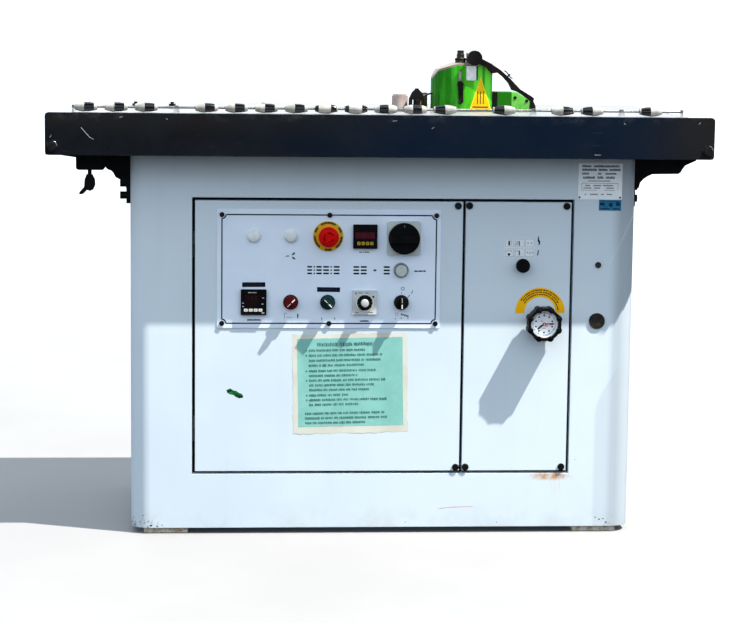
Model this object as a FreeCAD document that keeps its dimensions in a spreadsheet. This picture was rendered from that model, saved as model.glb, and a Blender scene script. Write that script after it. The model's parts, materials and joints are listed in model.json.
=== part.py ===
"""Contour edge banding machine: steel cabinet, work table with roller rail, hot-melt glue unit, feed drive.

Frame, in millimetres: +Z up from the floor, +X to the operator's right, +Y away from the operator.
The origin is on the floor, under the centre of the table.
"""

import FreeCAD, Part

import math
import os
import re

import Sketcher

# Every driving dimension, in millimetres unless the name says otherwise. Each entry is a cell of the sheet.
DIMENSIONS = {
    "Table": {
        "table_length": 1302, "table_depth": 600, "table_height": 846,
        "fascia_height": 82, "fascia_thick": 10, "fascia_corner": 7,
        "board_thick": 28, "board_gap": 0.5,
        "rail_width": 50, "rail_wall": 3,
        "stud_first": -487, "stud_second": -413, "stud_third": -228, "stud_y": -50,
        "stud_radius": 10, "stud_high": 13,
        "bearer_height": 54, "bearer_width": 50, "bearer_spread": 320,
        "bolt_inset_side": 13, "bolt_inset_low": 17,
        "bolt_head_radius": 8, "bolt_head_high": 6, "bolt_shank_radius": 5, "bolt_shank_long": 14,
    },
    "Cabinet": {
        "cabinet_middle": 12, "cabinet_width": 1010, "cabinet_depth": 460, "front_overhang": 83,
        "cabinet_corner": 38, "sheet": 3, "top_plate": 6, "foot_thick": 12,
        "foot_size": 88, "foot_inset_side": 26, "foot_inset_deep": 12, "anchor_radius": 6.5,
        "gap_left": -367.5, "gap_middle": 170, "gap_right": 387.6, "gap_low": 125, "gap_high": 675,
        "gap_width": 6, "rebate_depth": 20, "lip_width": 18, "post_width": 30,
        "seal_width": 14, "seal_thick": 1.5,
        "pan_depth": 18, "pan_sheet": 2,
        "slot_length": 120, "slot_height": 6, "slot_pitch": 22, "slots_low": 560,
        "gland_radius": 12.5, "gland_x": -380, "gland_z": 120,
        "shelf_left": 240, "shelf_front": -165, "shelf_back": 165, "shelf_thick": 6,
    },
    "Hinge": {
        "hinge_low": 215, "hinge_high": 585, "knuckle_radius": 2.4, "knuckle_long": 25,
        "pin_radius": 1.25, "pin_bore": 1.3, "hinge_set_back": 2, "leaf_thick": 1.5,
    },
    "Brackets": {
        "arm_long_left": 50, "arm_long_right": 97, "wedge_long": 28, "arm_drop": 36, "gusset_reach": 26,
        "plate_drop": 102, "plate_thick": 8, "plate_thick_right": 2.5, "bracket_width": 40,
        "bracket_front_y": -160, "bracket_back_y": 160,
        "side_bolt_high": 701, "side_bolt_low": 677, "side_bolt_radius": 7.5, "side_bolt_head_left": 13,
        "side_bolt_head_right": 7,
        "socket_length": 56.7, "socket_width": 50, "socket_radius": 12.5, "socket_bore_long": 50,
        "lever_x": -574, "lever_stem_radius": 4, "lever_stem_bore": 4.05, "lever_stem_low": 715,
        "lever_wing_low": 678,
    },
    "RollerRail": {
        "rod_radius": 2.5, "rod_height": 10.1, "rod_inset": 30, "rod_left": -601, "rod_right": 592,
        "rod_block_long": 4, "rod_block_wide": 14, "rod_block_high": 14,
        "roller_pitch": 58, "roller_first": -574, "roller_long": 44, "roller_radius": 9.7,
        "roller_end_radius": 5.9, "roller_bore": 2.55, "post_height": 14,
    },
    "ControlPlate": {
        "plate_left": -321.4, "plate_right": 123.2, "plate_low": 418.2, "plate_high": 655.4,
        "plate_thick_front": 1.5, "upper_row": 602.3, "lower_row": 470.5,
        "column_first": -248.6, "column_pitch": 73.6,
        "switch_x": 49, "switch_z": 599.5, "button_x": 44.4, "button_z": 535.3,
        "screw_left": -311.6, "screw_middle": -98.5, "screw_right": 114.2,
        "screw_low": 427.7, "screw_high": 644.4, "screw_radius": 5, "screw_head": 2.5,
        "screw_shank": 2, "screw_hole": 2.2,
    },
    "Operators": {
        "operator_body_radius": 11, "operator_hole": 11.2, "operator_body_long": 46,
        "bezel_radius": 15, "bezel_thick": 3, "stem_radius": 5, "stem_bore": 5.05, "stem_long": 16,
        "selector_radius": 12.6, "selector_long": 11, "selector_grip_wide": 7, "selector_grip_long": 8,
        "lamp_radius": 13.5, "lamp_rise": 8,
        "button_radius": 11.4, "button_long": 6, "button_travel_gap": 4,
        "stop_disc_radius": 30, "stop_disc_thick": 2, "stop_collar_radius": 15, "stop_collar_long": 9,
        "stop_neck_radius": 9, "stop_neck_long": 10, "stop_head_radius": 20, "stop_head_long": 13,
        "stop_travel_gap": 8,
        "switch_size": 67, "switch_thick": 7, "switch_corner": 6, "switch_body": 50,
        "switch_body_long": 62, "switch_knob_radius": 31, "switch_knob_long": 12,
        "switch_grip_wide": 15, "switch_grip_long": 14,
        "meter_size": 48, "meter_bezel": 7, "meter_body": 45, "meter_body_long": 70,
        "controller_size": 51, "cutout_gap": 0.4,
        "timer_ring_radius": 17, "timer_ring_long": 3, "timer_knob_radius": 7.5, "timer_knob_long": 9,
    },
    "SpeedControl": {
        "wheel_x": 330, "wheel_z": 431.3, "wheel_radius": 33, "lobe_radius": 7.5, "lobe_circle": 29,
        "wheel_back_gap": 12, "wheel_web": 5, "wheel_rim_long": 25, "dial_radius": 27.4, "dial_gap": 0.4,
        "dial_long": 19, "dial_recess": 7, "dial_lip": 2.2, "dial_bore": 3.05, "centre_pin_radius": 3,
        "needle_pin_radius": 1.2, "needle_bore": 1.25, "needle_hub_radius": 3, "needle_thick": 0.8,
        "red_needle_long": 19, "black_needle_long": 15, "needle_wide": 2.2,
        "spindle_radius": 5, "spindle_bore": 5.05, "spindle_hole": 9, "spindle_end": -130,
        "pull_x": 287.3, "pull_z": 546.3, "pull_radius": 14, "pull_long": 15, "pull_gap": 7,
        "pull_stem": 4, "pull_bore": 4.05, "pull_stem_end": -185,
        "plug_x": 441, "plug_small_z": 547, "plug_small_radius": 6, "plug_big_z": 433.6,
        "plug_big_radius": 16, "plug_rise": 2.5,
        "panel_screw_radius": 7, "panel_screw_head": 3, "panel_screw_inset_x": 7.6,
        "panel_screw_inset_z": 7.4,
    },
    "Drive": {
        "variator_left": 270, "variator_right": 390, "variator_front": -150, "variator_back": -45,
        "variator_low": 356, "variator_high": 505, "boss_radius": 22, "boss_front": -176,
        "motor_radius": 70, "motor_end": 160, "motor_box": 60, "motor_box_rise": 28,
        "drive_y": -97, "drive_shaft_radius": 8, "drive_shaft_bore": 8.05, "drive_shaft_low": 470,
        "sprocket_radius": 24, "sprocket_thick": 7, "chain_gap": 0.6, "chain_wide": 6, "chain_high": 5,
        "upper_chain_z": 784, "lower_chain_z": 771, "shaft_plate_hole": 14,
        "panel_plate_left": -420, "panel_plate_right": -20, "panel_plate_low": 180, "panel_plate_high": 620,
        "panel_plate_y": 190, "panel_plate_thick": 3,
    },
    "GlueUnit": {
        "cover_left": 115, "cover_right": 235, "cover_front": -100, "cover_back": 10,
        "cover_wall": 3, "cover_high": 940, "cover_low_rim": 904, "cover_shoulder_x": 127, "cover_shoulder": 927,
        "cover_slope_x": 165, "lid_thick": 4,
        "cover_foot_gap": 0.5,
        "pot_radius": 42, "pot_wall": 5, "pot_low": 795, "pot_high": 915, "pot_flange_radius": 50,
        "pot_flange_thick": 4, "pot_hole_radius": 45,
        "valve_x": 173.5, "valve_y": -63, "valve_radius": 11,
        "valve_neck": 954, "valve_cap": 962, "valve_high": 968,
        "slot_x": 169.5, "slot_low": 861, "slot_high": 929, "slot_wide": 6,
        "glue_lever_low": 864, "glue_lever_high": 908, "glue_lever_head": 6.3, "glue_lever_thick": 8,
        "feed_x": 47.5, "feed_radius": 16.5, "feed_high": 877.5, "feed_cap": 3,
        "glue_x": 100, "glue_y": -30, "glue_radius": 10, "glue_high": 882,
        "roller_shaft": 6, "roller_shaft_bore": 6.05, "roller_lift": 1, "bearing_radius": 19,
        "bearing_high": 20,
    },
    "TableTools": {
        "pressure_x": 80, "pressure_y": -118, "pressure_half": 16, "pressure_high": 891,
        "pressure_post": 4, "pressure_bore": 4.05, "pressure_thick": 10, "pressure_post_high": 893,
        "guide_radius": 36, "guide_thick": 3, "guide_x": 118, "guide_front": -92, "guide_wide": 18,
        "trim_left": 251, "trim_right": 331, "trim_front": 30, "trim_back": 88, "trim_high": 883,
        "blade_x": 255, "blade_thick": 3, "blade_play": 0.4, "blade_front": 38, "blade_back": 72,
        "blade_low": 850, "blade_high": 880,
        "pivot_x": 196, "pivot_z": 955, "pivot_radius": 5, "pivot_bore": 5.05,
        "arm_front": -112, "arm_back": -101, "lug_back": -64, "knob_radius": 15, "knob_long": 14,
    },
}

doc = FreeCAD.newDocument("edge_banding_machine")
sheet = doc.addObject("Spreadsheet::Sheet", "Dims")
VALUES = {}
row = 0
for group, cells in DIMENSIONS.items():
    row += 1
    sheet.set(f"A{row}", group)
    for name, value in cells.items():
        row += 1
        sheet.set(f"A{row}", name)
        sheet.set(f"B{row}", str(value))
        sheet.setAlias(f"B{row}", name)
        VALUES[name] = value
doc.recompute()

# Heights and planes that many sub-parts share, as expressions over the cells.
TABLE_FRONT = "-table_depth/2"
TABLE_UNDER = "(table_height - fascia_height)"
BOARD_UNDER = "(table_height - board_thick)"
CABINET_FRONT = "(-table_depth/2 + front_overhang)"
CABINET_BACK = "(-table_depth/2 + front_overhang + cabinet_depth)"
CABINET_LEFT = "(cabinet_middle - cabinet_width/2)"
CABINET_RIGHT = "(cabinet_middle + cabinet_width/2)"
HALF_GAP = "gap_width/2"
PLATE_FRONT = f"({CABINET_FRONT} - plate_thick_front)"
ROD_Y = "(-table_depth/2 + rod_inset)"
ROD_Z = "(table_height + rod_height)"

TURN = {
    "z": FreeCAD.Rotation(),
    "x": FreeCAD.Rotation(FreeCAD.Vector(0, 1, 0), 90),
    "-y": FreeCAD.Rotation(FreeCAD.Vector(1, 0, 0), 90),
}
NODES = []


def expression(text):
    """The text with each cell's name made into a reference to the sheet."""
    return re.sub(r"\b([a-z][a-z_]+)\b(?!\()", r"Dims.\1", str(text))


def bind(obj, **sizes):
    for prop, text in sizes.items():
        obj.setExpression(prop, expression(text))
    return obj


def place(obj, x, y, z, turn="z"):
    obj.Placement = FreeCAD.Placement(FreeCAD.Vector(), TURN[turn])
    for axis, text in zip("xyz", (x, y, z)):
        obj.setExpression(f"Placement.Base.{axis}", expression(text))
    return obj


def block(x, y, z):
    """A box between two expressions on each axis."""
    obj = doc.addObject("Part::Box", "Block")
    bind(obj, Length=f"({x[1]}) - ({x[0]})", Width=f"({y[1]}) - ({y[0]})", Height=f"({z[1]}) - ({z[0]})")
    return place(obj, x[0], y[0], z[0])


def around(middle, size):
    return (f"({middle}) - ({size})/2", f"({middle}) + ({size})/2")


def cylinder(radius, length, x, y, z, turn="z"):
    """A cylinder that starts at x, y, z and runs along +Z, +X or -Y."""
    obj = bind(doc.addObject("Part::Cylinder", "Cylinder"), Radius=radius, Height=length)
    return place(obj, x, y, z, turn)


def fuse(*shapes):
    obj = doc.addObject("Part::MultiFuse", "Fuse")
    obj.Shapes = list(shapes)
    obj.Refine = True
    return obj


def group(*shapes):
    obj = doc.addObject("Part::Compound", "Group")
    obj.Links = list(shapes)
    return obj


def cut(base, *tools):
    obj = doc.addObject("Part::Cut", "Cut")
    obj.Base = base
    obj.Tool = tools[0] if len(tools) == 1 else fuse(*tools)
    return obj


def common(*shapes):
    obj = doc.addObject("Part::MultiCommon", "Common")
    obj.Shapes = list(shapes)
    return obj


def node(label, obj):
    """Gives a finished sub-part its name."""
    obj.Label = label
    NODES.append(obj)
    return obj


def rounded(base, radius, is_edge):
    """Rounds the edges of a base object that the test picks."""
    doc.recompute()
    obj = doc.addObject("Part::Fillet", "Rounded")
    obj.Base = base
    size = VALUES[radius] if isinstance(radius, str) else radius
    picked = [i for i, edge in enumerate(base.Shape.Edges, 1) if is_edge(edge)]
    obj.Edges = [(i, size, size) for i in picked]
    return obj


def along(edge, axis):
    """Whether a straight edge runs along an axis."""
    if not isinstance(edge.Curve, Part.Line):
        return False
    direction = (edge.Vertexes[-1].Point - edge.Vertexes[0].Point).normalize()
    return abs(abs(direction.dot(axis)) - 1) < 1e-6


def body_with_outline(name, plane, points):
    """A body and a sketch on one of its own planes, with each corner held by two driven constraints."""
    body = doc.addObject("PartDesign::Body", name)
    sketch = body.newObject("Sketcher::SketchObject", name + "Sketch")
    support = next(o for o in body.Origin.OriginFeatures if o.Role == plane)
    sketch.AttachmentSupport = [(support, "")]
    sketch.MapMode = "FlatFace"
    count = len(points)
    rough = [FreeCAD.Vector(math.cos(i * math.tau / count), math.sin(i * math.tau / count),
                            0) for i in range(count)]
    for i in range(count):
        sketch.addGeometry(Part.LineSegment(rough[i], rough[(i + 1) % count]))
    for i in range(count):
        sketch.addConstraint(Sketcher.Constraint("Coincident", i, 2, (i + 1) % count, 1))
    for i, point in enumerate(points):
        for kind, text in zip(("DistanceX", "DistanceY"), point):
            index = sketch.addConstraint(Sketcher.Constraint(kind, -1, 1, i, 1, 1.0 + i))
            sketch.renameConstraint(index, f"{kind}{i}")
            sketch.setExpression(f"Constraints.{kind}{i}", expression(text))
    return body, sketch


def padded(name, plane, points, length, x="0", y="0", z="0"):
    """An outline pushed out equally to both sides of its plane, then placed."""
    body, sketch = body_with_outline(name, plane, points)
    pad = body.newObject("PartDesign::Pad", name + "Pad")
    pad.Profile = sketch
    pad.Midplane = True
    bind(pad, Length=length)
    return place(body, x, y, z)


def turned(name, plane, points, axis, x="0", y="0", z="0"):
    """An outline turned once round the sketch's own H or V axis, then placed."""
    body, sketch = body_with_outline(name, plane, points)
    revolution = body.newObject("PartDesign::Revolution", name + "Turned")
    revolution.Profile = sketch
    revolution.ReferenceAxis = (sketch, [axis])
    revolution.Angle = 360
    return place(body, x, y, z)


# ---------------------------------------------------------------- table

def table_parts():
    left, right = "-table_length/2", "table_length/2"
    front, back = TABLE_FRONT, "table_depth/2"
    inner_front, inner_back = f"{front} + fascia_thick", f"{back} - fascia_thick"
    bolt_z = f"{TABLE_UNDER} + bolt_inset_low"
    bolt_x = (f"{left} + bolt_inset_side", f"{right} - bolt_inset_side")

    def plate(y):
        slab = block((left, right), y, (TABLE_UNDER, "table_height"))
        slab = rounded(slab, "fascia_corner", lambda e: along(e, FreeCAD.Vector(0, 1, 0)))
        start = y[1]
        holes = [cylinder("bolt_shank_radius + 0.4", "fascia_thick", x, start, bolt_z, "-y") for x in bolt_x]
        return cut(slab, *holes)

    node("front_fascia", plate((front, inner_front)))

    def end_rail(x0, x1):
        outer = block((x0, x1), (inner_front, inner_back), (TABLE_UNDER, BOARD_UNDER))
        inner = block((f"{x0} + rail_wall", f"{x1} - rail_wall"), (inner_front, inner_back),
                      (f"{TABLE_UNDER} + rail_wall", f"{BOARD_UNDER} - rail_wall"))
        return cut(outer, inner)

    def bearer(sign):
        middle = f"{sign}bearer_spread/2"
        ends = (f"{left} + rail_width", f"{right} - rail_width")
        outer = block(ends, around(middle, "bearer_width"), (TABLE_UNDER, BOARD_UNDER))
        inner = block(ends, around(middle, "bearer_width - 2*rail_wall"),
                      (f"{TABLE_UNDER} + rail_wall", f"{BOARD_UNDER} - rail_wall"))
        return cut(outer, inner)

    rails = (end_rail(left, f"{left} + rail_width"), end_rail(f"{right} - rail_width", right))
    steps = [block(x, (f"{inner_back} - 1", f"{back} + 1"), (BOARD_UNDER, "table_height + 1"))
             for x in ((f"{left} - 1", f"{left} + rail_width"), (f"{right} - rail_width", f"{right} + 1"))]
    node("table_frame", group(*rails, bearer("-"), bearer(""), cut(plate((inner_back, back)), *steps)))

    board = block((f"{left} + rail_width + board_gap", f"{right} - rail_width - board_gap"),
                  (f"{inner_front} + board_gap", f"{inner_back} - board_gap"), (BOARD_UNDER, "table_height"))
    pot_x, pot_y, _ = cover_centre()
    holes = [
        cylinder("pot_hole_radius", "board_thick", pot_x, pot_y, BOARD_UNDER),
        cylinder("roller_shaft + 4", "board_thick", "feed_x", "drive_y", BOARD_UNDER),
        cylinder("roller_shaft + 2", "board_thick", "glue_x", "glue_y", BOARD_UNDER),
    ]
    node("table_top", cut(board, *holes))

    bolts = []
    for x in bolt_x:
        bolts.append(fuse(cylinder("bolt_head_radius", "bolt_head_high", x, front, bolt_z, "-y"),
                          cylinder("bolt_shank_radius", "bolt_shank_long", x,
                                   f"{front} + bolt_shank_long", bolt_z, "-y")))
        bolts.append(fuse(cylinder("bolt_head_radius", "bolt_head_high", x,
                                   f"{back} + bolt_head_high", bolt_z, "-y"),
                          cylinder("bolt_shank_radius", "bolt_shank_long", x, back, bolt_z, "-y")))
    for y in ("bracket_front_y", "bracket_back_y"):
        for z in ("side_bolt_high", "side_bolt_low"):
            bolts.append(cylinder("side_bolt_radius", "side_bolt_head_left",
                                  f"{CABINET_LEFT} - plate_thick - side_bolt_head_left", y, z, "x"))
            bolts.append(cylinder("side_bolt_radius", "side_bolt_head_right",
                                  f"{CABINET_RIGHT} + plate_thick_right", y, z, "x"))
    for x in ("stud_first", "stud_second", "stud_third"):
        bolts.append(fuse(*[cylinder(f"stud_radius*{share}", f"stud_high*{rise}", x, "stud_y", "table_height")
                            for share, rise in ((1, 0.35), (0.7, 0.7), (0.36, 1))]))
    node("frame_bolts", group(*bolts))


def bracket_outline(side, sign, arm, thick, wedge, gusset):
    """The bracket seen from the front: arm under the table, curved gusset, plate down the cabinet's side."""
    def out(distance):
        return f"{side} {sign} ({distance})"
    under = TABLE_UNDER
    low = f"{TABLE_UNDER} - arm_drop"
    tip = [(out(f"{arm} + {wedge}"), under), (out(f"{arm} + {wedge}"), f"{under} - 9"),
           (out(f"{arm} + 6"), f"{under} - 19")] if wedge != "0" else [(out(arm), under)]
    return [
        (out("0"), under), *tip, (out(arm), f"{low} + 9"), (out(f"{arm} - 3"), f"{low} + 3"),
        (out(f"{arm} - 8"), low), *[(out(x), f"{under} - {drop}") for x, drop in gusset],
        (out(thick), f"{TABLE_UNDER} - plate_drop"), (out("0"), f"{TABLE_UNDER} - plate_drop"),
    ]


def bracket_parts():
    left_gusset = (("38", 37), ("34", 41), ("29", 50), ("20", 55), ("13", 62), ("plate_thick", 72))
    right_gusset = (("36", 37), ("27", 41), ("18", 47), ("12", 54), ("9.5", 64), ("plate_thick_right", 69))
    for label, side, sign, arm, thick, wedge, gusset in (
            ("table_bracket_left", CABINET_LEFT, "-", "arm_long_left", "plate_thick", "0", left_gusset),
            ("table_bracket_right", CABINET_RIGHT, "+", "arm_long_right", "plate_thick_right", "wedge_long",
             right_gusset)):
        outline = bracket_outline(side, sign, arm, thick, wedge, gusset)
        pair = []
        for i, y in enumerate(("bracket_front_y", "bracket_back_y")):
            bracket = padded(f"{label}_{i}", "XZ_Plane", outline, "bracket_width", y=y)
            face, far = f"{side} {sign} {thick}", f"{side} {sign} ({thick} + gusset_reach)"
            seat = block((face, far) if sign == "+" else (far, face), around(y, "2*side_bolt_radius + 1"),
                         (f"{TABLE_UNDER} - plate_drop - 5", "side_bolt_high + side_bolt_radius + 0.5"))
            pair.append(cut(bracket, seat))
        node(label, group(*pair))

    start = f"({CABINET_LEFT} - arm_long_left - socket_length)"
    housing = block((start, f"{start} + socket_length"), around("bracket_front_y", "socket_width"),
                    (f"{TABLE_UNDER} - arm_drop", TABLE_UNDER))
    housing = rounded(housing, 6, lambda e: along(e, FreeCAD.Vector(0, 1, 0)) and e.CenterOfMass.z < 740)
    bore = cylinder("socket_radius", "socket_bore_long", start, "bracket_front_y",
                    f"{TABLE_UNDER} - arm_drop/2", "x")
    thread = cylinder("lever_stem_bore", "arm_drop/2", "lever_x", "bracket_front_y",
                      f"{TABLE_UNDER} - arm_drop")
    fin = padded("socket_fin", "XZ_Plane", [
        (f"{start} - wedge_long - 4", TABLE_UNDER), (f"{start} - wedge_long - 4", f"{TABLE_UNDER} - 9.5"),
        (f"{start} + 1", f"{TABLE_UNDER} - 14"), (f"{start} + 1", TABLE_UNDER),
    ], "12", y="bracket_front_y + socket_width/2 - 6")
    node("coil_arm_socket", cut(fuse(housing, fin), bore, thread))

    stem_top = f"({TABLE_UNDER} - arm_drop/2 - socket_radius - 0.5)"
    stem = cylinder("lever_stem_radius", f"{stem_top} - lever_stem_low", "lever_x", "bracket_front_y",
                    "lever_stem_low")
    wing = padded("clamp_lever_wing", "XZ_Plane", [
        ("-6", "lever_stem_low + 3"), ("5", "lever_stem_low + 3"), ("10", "lever_stem_low - 6"),
        ("11", "lever_stem_low - 18"), ("7", "lever_stem_low - 27"), ("1", "lever_stem_low - 30"),
        ("-5", "lever_stem_low - 28"), ("-13", "lever_wing_low + 1"), ("-21", "lever_wing_low"),
        ("-20", "lever_wing_low + 5"), ("-11", "lever_wing_low + 15"), ("-10", "lever_stem_low - 7"),
    ], "12", "lever_x", "bracket_front_y")
    node("clamp_lever", fuse(stem, wing))


# ---------------------------------------------------------------- cabinet

def cabinet_parts():
    z0, z1 = "foot_thick", TABLE_UNDER
    front, back, left, right = CABINET_FRONT, CABINET_BACK, CABINET_LEFT, CABINET_RIGHT

    def front_corner(edge):
        return along(edge, FreeCAD.Vector(0, 0, 1)) and edge.CenterOfMass.y < 0

    outer = rounded(block((left, right), (front, back), (z0, z1)), "cabinet_corner", front_corner)
    hollow = block((f"{left} + sheet", f"{right} - sheet"), (f"{front} + sheet", f"{back} + sheet"),
                   (f"{z0} - sheet", f"{z1} - top_plate"))
    hollow = rounded(hollow, VALUES["cabinet_corner"] - VALUES["sheet"], front_corner)
    open_x = (f"gap_left - {HALF_GAP}", f"gap_right + {HALF_GAP}")
    open_z = (f"gap_low - {HALF_GAP}", f"gap_high + {HALF_GAP}")
    opening = block(open_x, (f"{front} - 1", f"{front} + sheet + 1"), open_z)
    shaft_hole = cylinder("shaft_plate_hole", "top_plate", "wheel_x", "drive_y", f"{z1} - top_plate")
    skin = cut(outer, hollow, opening, shaft_hole)

    rebate = block((f"{open_x[0]} - sheet", f"{open_x[1]} + sheet"),
                   (f"{front} + sheet", f"{front} + rebate_depth + sheet"),
                   (f"{open_z[0]} - sheet", f"{open_z[1]} + sheet"))
    well = block(open_x, (f"{front} + sheet - 1", f"{front} + rebate_depth"), open_z)
    mouth = block((f"{open_x[0]} + lip_width", f"{open_x[1]} - lip_width"),
                  (f"{front} + rebate_depth - 1", f"{front} + rebate_depth + sheet + 1"),
                  (f"{open_z[0]} + lip_width", f"{open_z[1]} - lip_width"))
    post = block(around("gap_middle", "post_width"),
                 (f"{front} + rebate_depth", f"{front} + rebate_depth + sheet"),
                 (f"{open_z[0]} + 1", f"{open_z[1]} - 1"))
    shelf = block(("shelf_left", f"{right} - sheet"), ("shelf_front", "shelf_back"),
                  ("variator_low - shelf_thick", "variator_low"))
    node("cabinet_shell", fuse(skin, cut(rebate, well, mouth), post, shelf))

    gap = 0.3
    floor = block((f"{left} + sheet + {gap}", f"{right} - sheet - {gap}"),
                  (f"{front} + sheet + {gap}", f"{back} - sheet - {gap}"), (z0, f"{z0} + sheet"))
    floor = rounded(floor, VALUES["cabinet_corner"] - VALUES["sheet"], front_corner)
    anchors = []
    feet = []
    foot_middle = "foot_size/2"
    for x in (f"{left} + foot_inset_side + {foot_middle}", f"{right} - foot_inset_side - {foot_middle}"):
        for y in (f"{front} + foot_inset_deep + {foot_middle}", f"{back} - foot_inset_deep - {foot_middle}"):
            anchors.append(cylinder("anchor_radius", "sheet", x, y, z0))
            foot = block(around(x, "foot_size"), around(y, "foot_size"), ("0", z0))
            feet.append(cut(foot, cylinder("anchor_radius", z0, x, y, "0")))
    node("cabinet_floor", cut(floor, *anchors))
    node("foot_plates", group(*feet))

    panel = block((f"{left} + sheet + {gap}", f"{right} - sheet - {gap}"), (f"{back} - sheet", back),
                  (f"{z0} + {gap}", f"{z1} - top_plate - {gap}"))
    slots = [block(around("cabinet_middle + " + str(shift), "slot_length"), (f"{back} - sheet", back),
                   (f"slots_low + {i}*slot_pitch", f"slots_low + {i}*slot_pitch + slot_height"))
             for shift in (-260, 260) for i in range(6)]
    gland = cylinder("gland_radius", "sheet", "gland_x", back, "gland_z", "-y")
    node("cabinet_back_panel", cut(panel, *slots, gland))

    depth = (f"{front} + rebate_depth - seal_thick", f"{front} + rebate_depth")
    ring = block((f"{open_x[0]} + 0.3", f"{open_x[1]} - 0.3"), depth,
                 (f"{open_z[0]} + 0.3", f"{open_z[1]} - 0.3"))
    windows = [
        block((f"{open_x[0]} + seal_width", "gap_middle - seal_width"), depth,
              (f"{open_z[0]} + seal_width", f"{open_z[1]} - seal_width")),
        block(("gap_middle + seal_width", f"{open_x[1]} - seal_width"), depth,
              (f"{open_z[0]} + seal_width", f"{open_z[1]} - seal_width")),
    ]
    node("door_seal", cut(ring, *windows))


def hinge_parts():
    """Frame halves of the two concealed hinges. Returns the door's knuckles and what to bore out of them."""
    axis_y = f"({CABINET_FRONT} + hinge_set_back)"
    halves, knuckles, bores = [], [], []
    leaf_y = (f"{axis_y} + 0.8", f"{axis_y} + 0.8 + leaf_thick")
    for z in ("hinge_low", "hinge_high"):
        lower = cylinder("knuckle_radius", "knuckle_long", "gap_left", axis_y, f"{z} - knuckle_long - 0.3")
        leaf = block((f"gap_left - {HALF_GAP}", "gap_left"), leaf_y,
                     (f"{z} - knuckle_long - 0.3", f"{z} - 0.3"))
        pin = cylinder("pin_radius", "2*knuckle_long", "gap_left", axis_y, f"{z} - knuckle_long")
        halves.append(fuse(lower, leaf, pin))
        upper = cylinder("knuckle_radius", "knuckle_long", "gap_left", axis_y, z)
        tab = block(("gap_left", f"gap_left + {HALF_GAP} + 1"), leaf_y, (z, f"{z} + knuckle_long"))
        knuckles += [upper, tab]
        bores.append(cylinder("pin_bore", "knuckle_long + 2", "gap_left", axis_y, f"{z} - 1"))
    node("door_hinges", group(*halves))
    return knuckles, bores


def pan(x, z):
    """A sheet panel with its edges folded back."""
    front = CABINET_FRONT
    outer = block(x, (front, f"{front} + pan_depth"), z)
    inner = block((f"{x[0]} + pan_sheet", f"{x[1]} - pan_sheet"),
                  (f"{front} + pan_sheet", f"{front} + pan_depth + 1"),
                  (f"{z[0]} + pan_sheet", f"{z[1]} - pan_sheet"))
    return cut(outer, inner)


def column(index):
    return f"(column_first + {index}*column_pitch)"


DOOR_SCREWS = [("gap_middle - 13", "gap_high - 11"), ("gap_middle - 10", "gap_low + 10")]
PLATE_SCREWS = [(x, z) for x in ("screw_left", "screw_middle", "screw_right") for z in ("screw_low",
                                                                                        "screw_high")]
SELECTORS = [("selector_red", column(1), 45), ("selector_green", column(2), -45), ("selector_black", column(4), 0)]
LAMPS = [column(0), column(1)]
METERS = [("counter_display", column(3), "upper_row", "meter_size"),
          ("temperature_controller", column(0), "lower_row", "controller_size")]


def screws(places, radius, head, front, shank_long):
    made = []
    for x, z in places:
        made.append(fuse(cylinder(radius, head, x, front, z, "-y"),
                         cylinder("screw_shank", shank_long, x, f"{front} + {shank_long}", z, "-y")))
    return made


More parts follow.
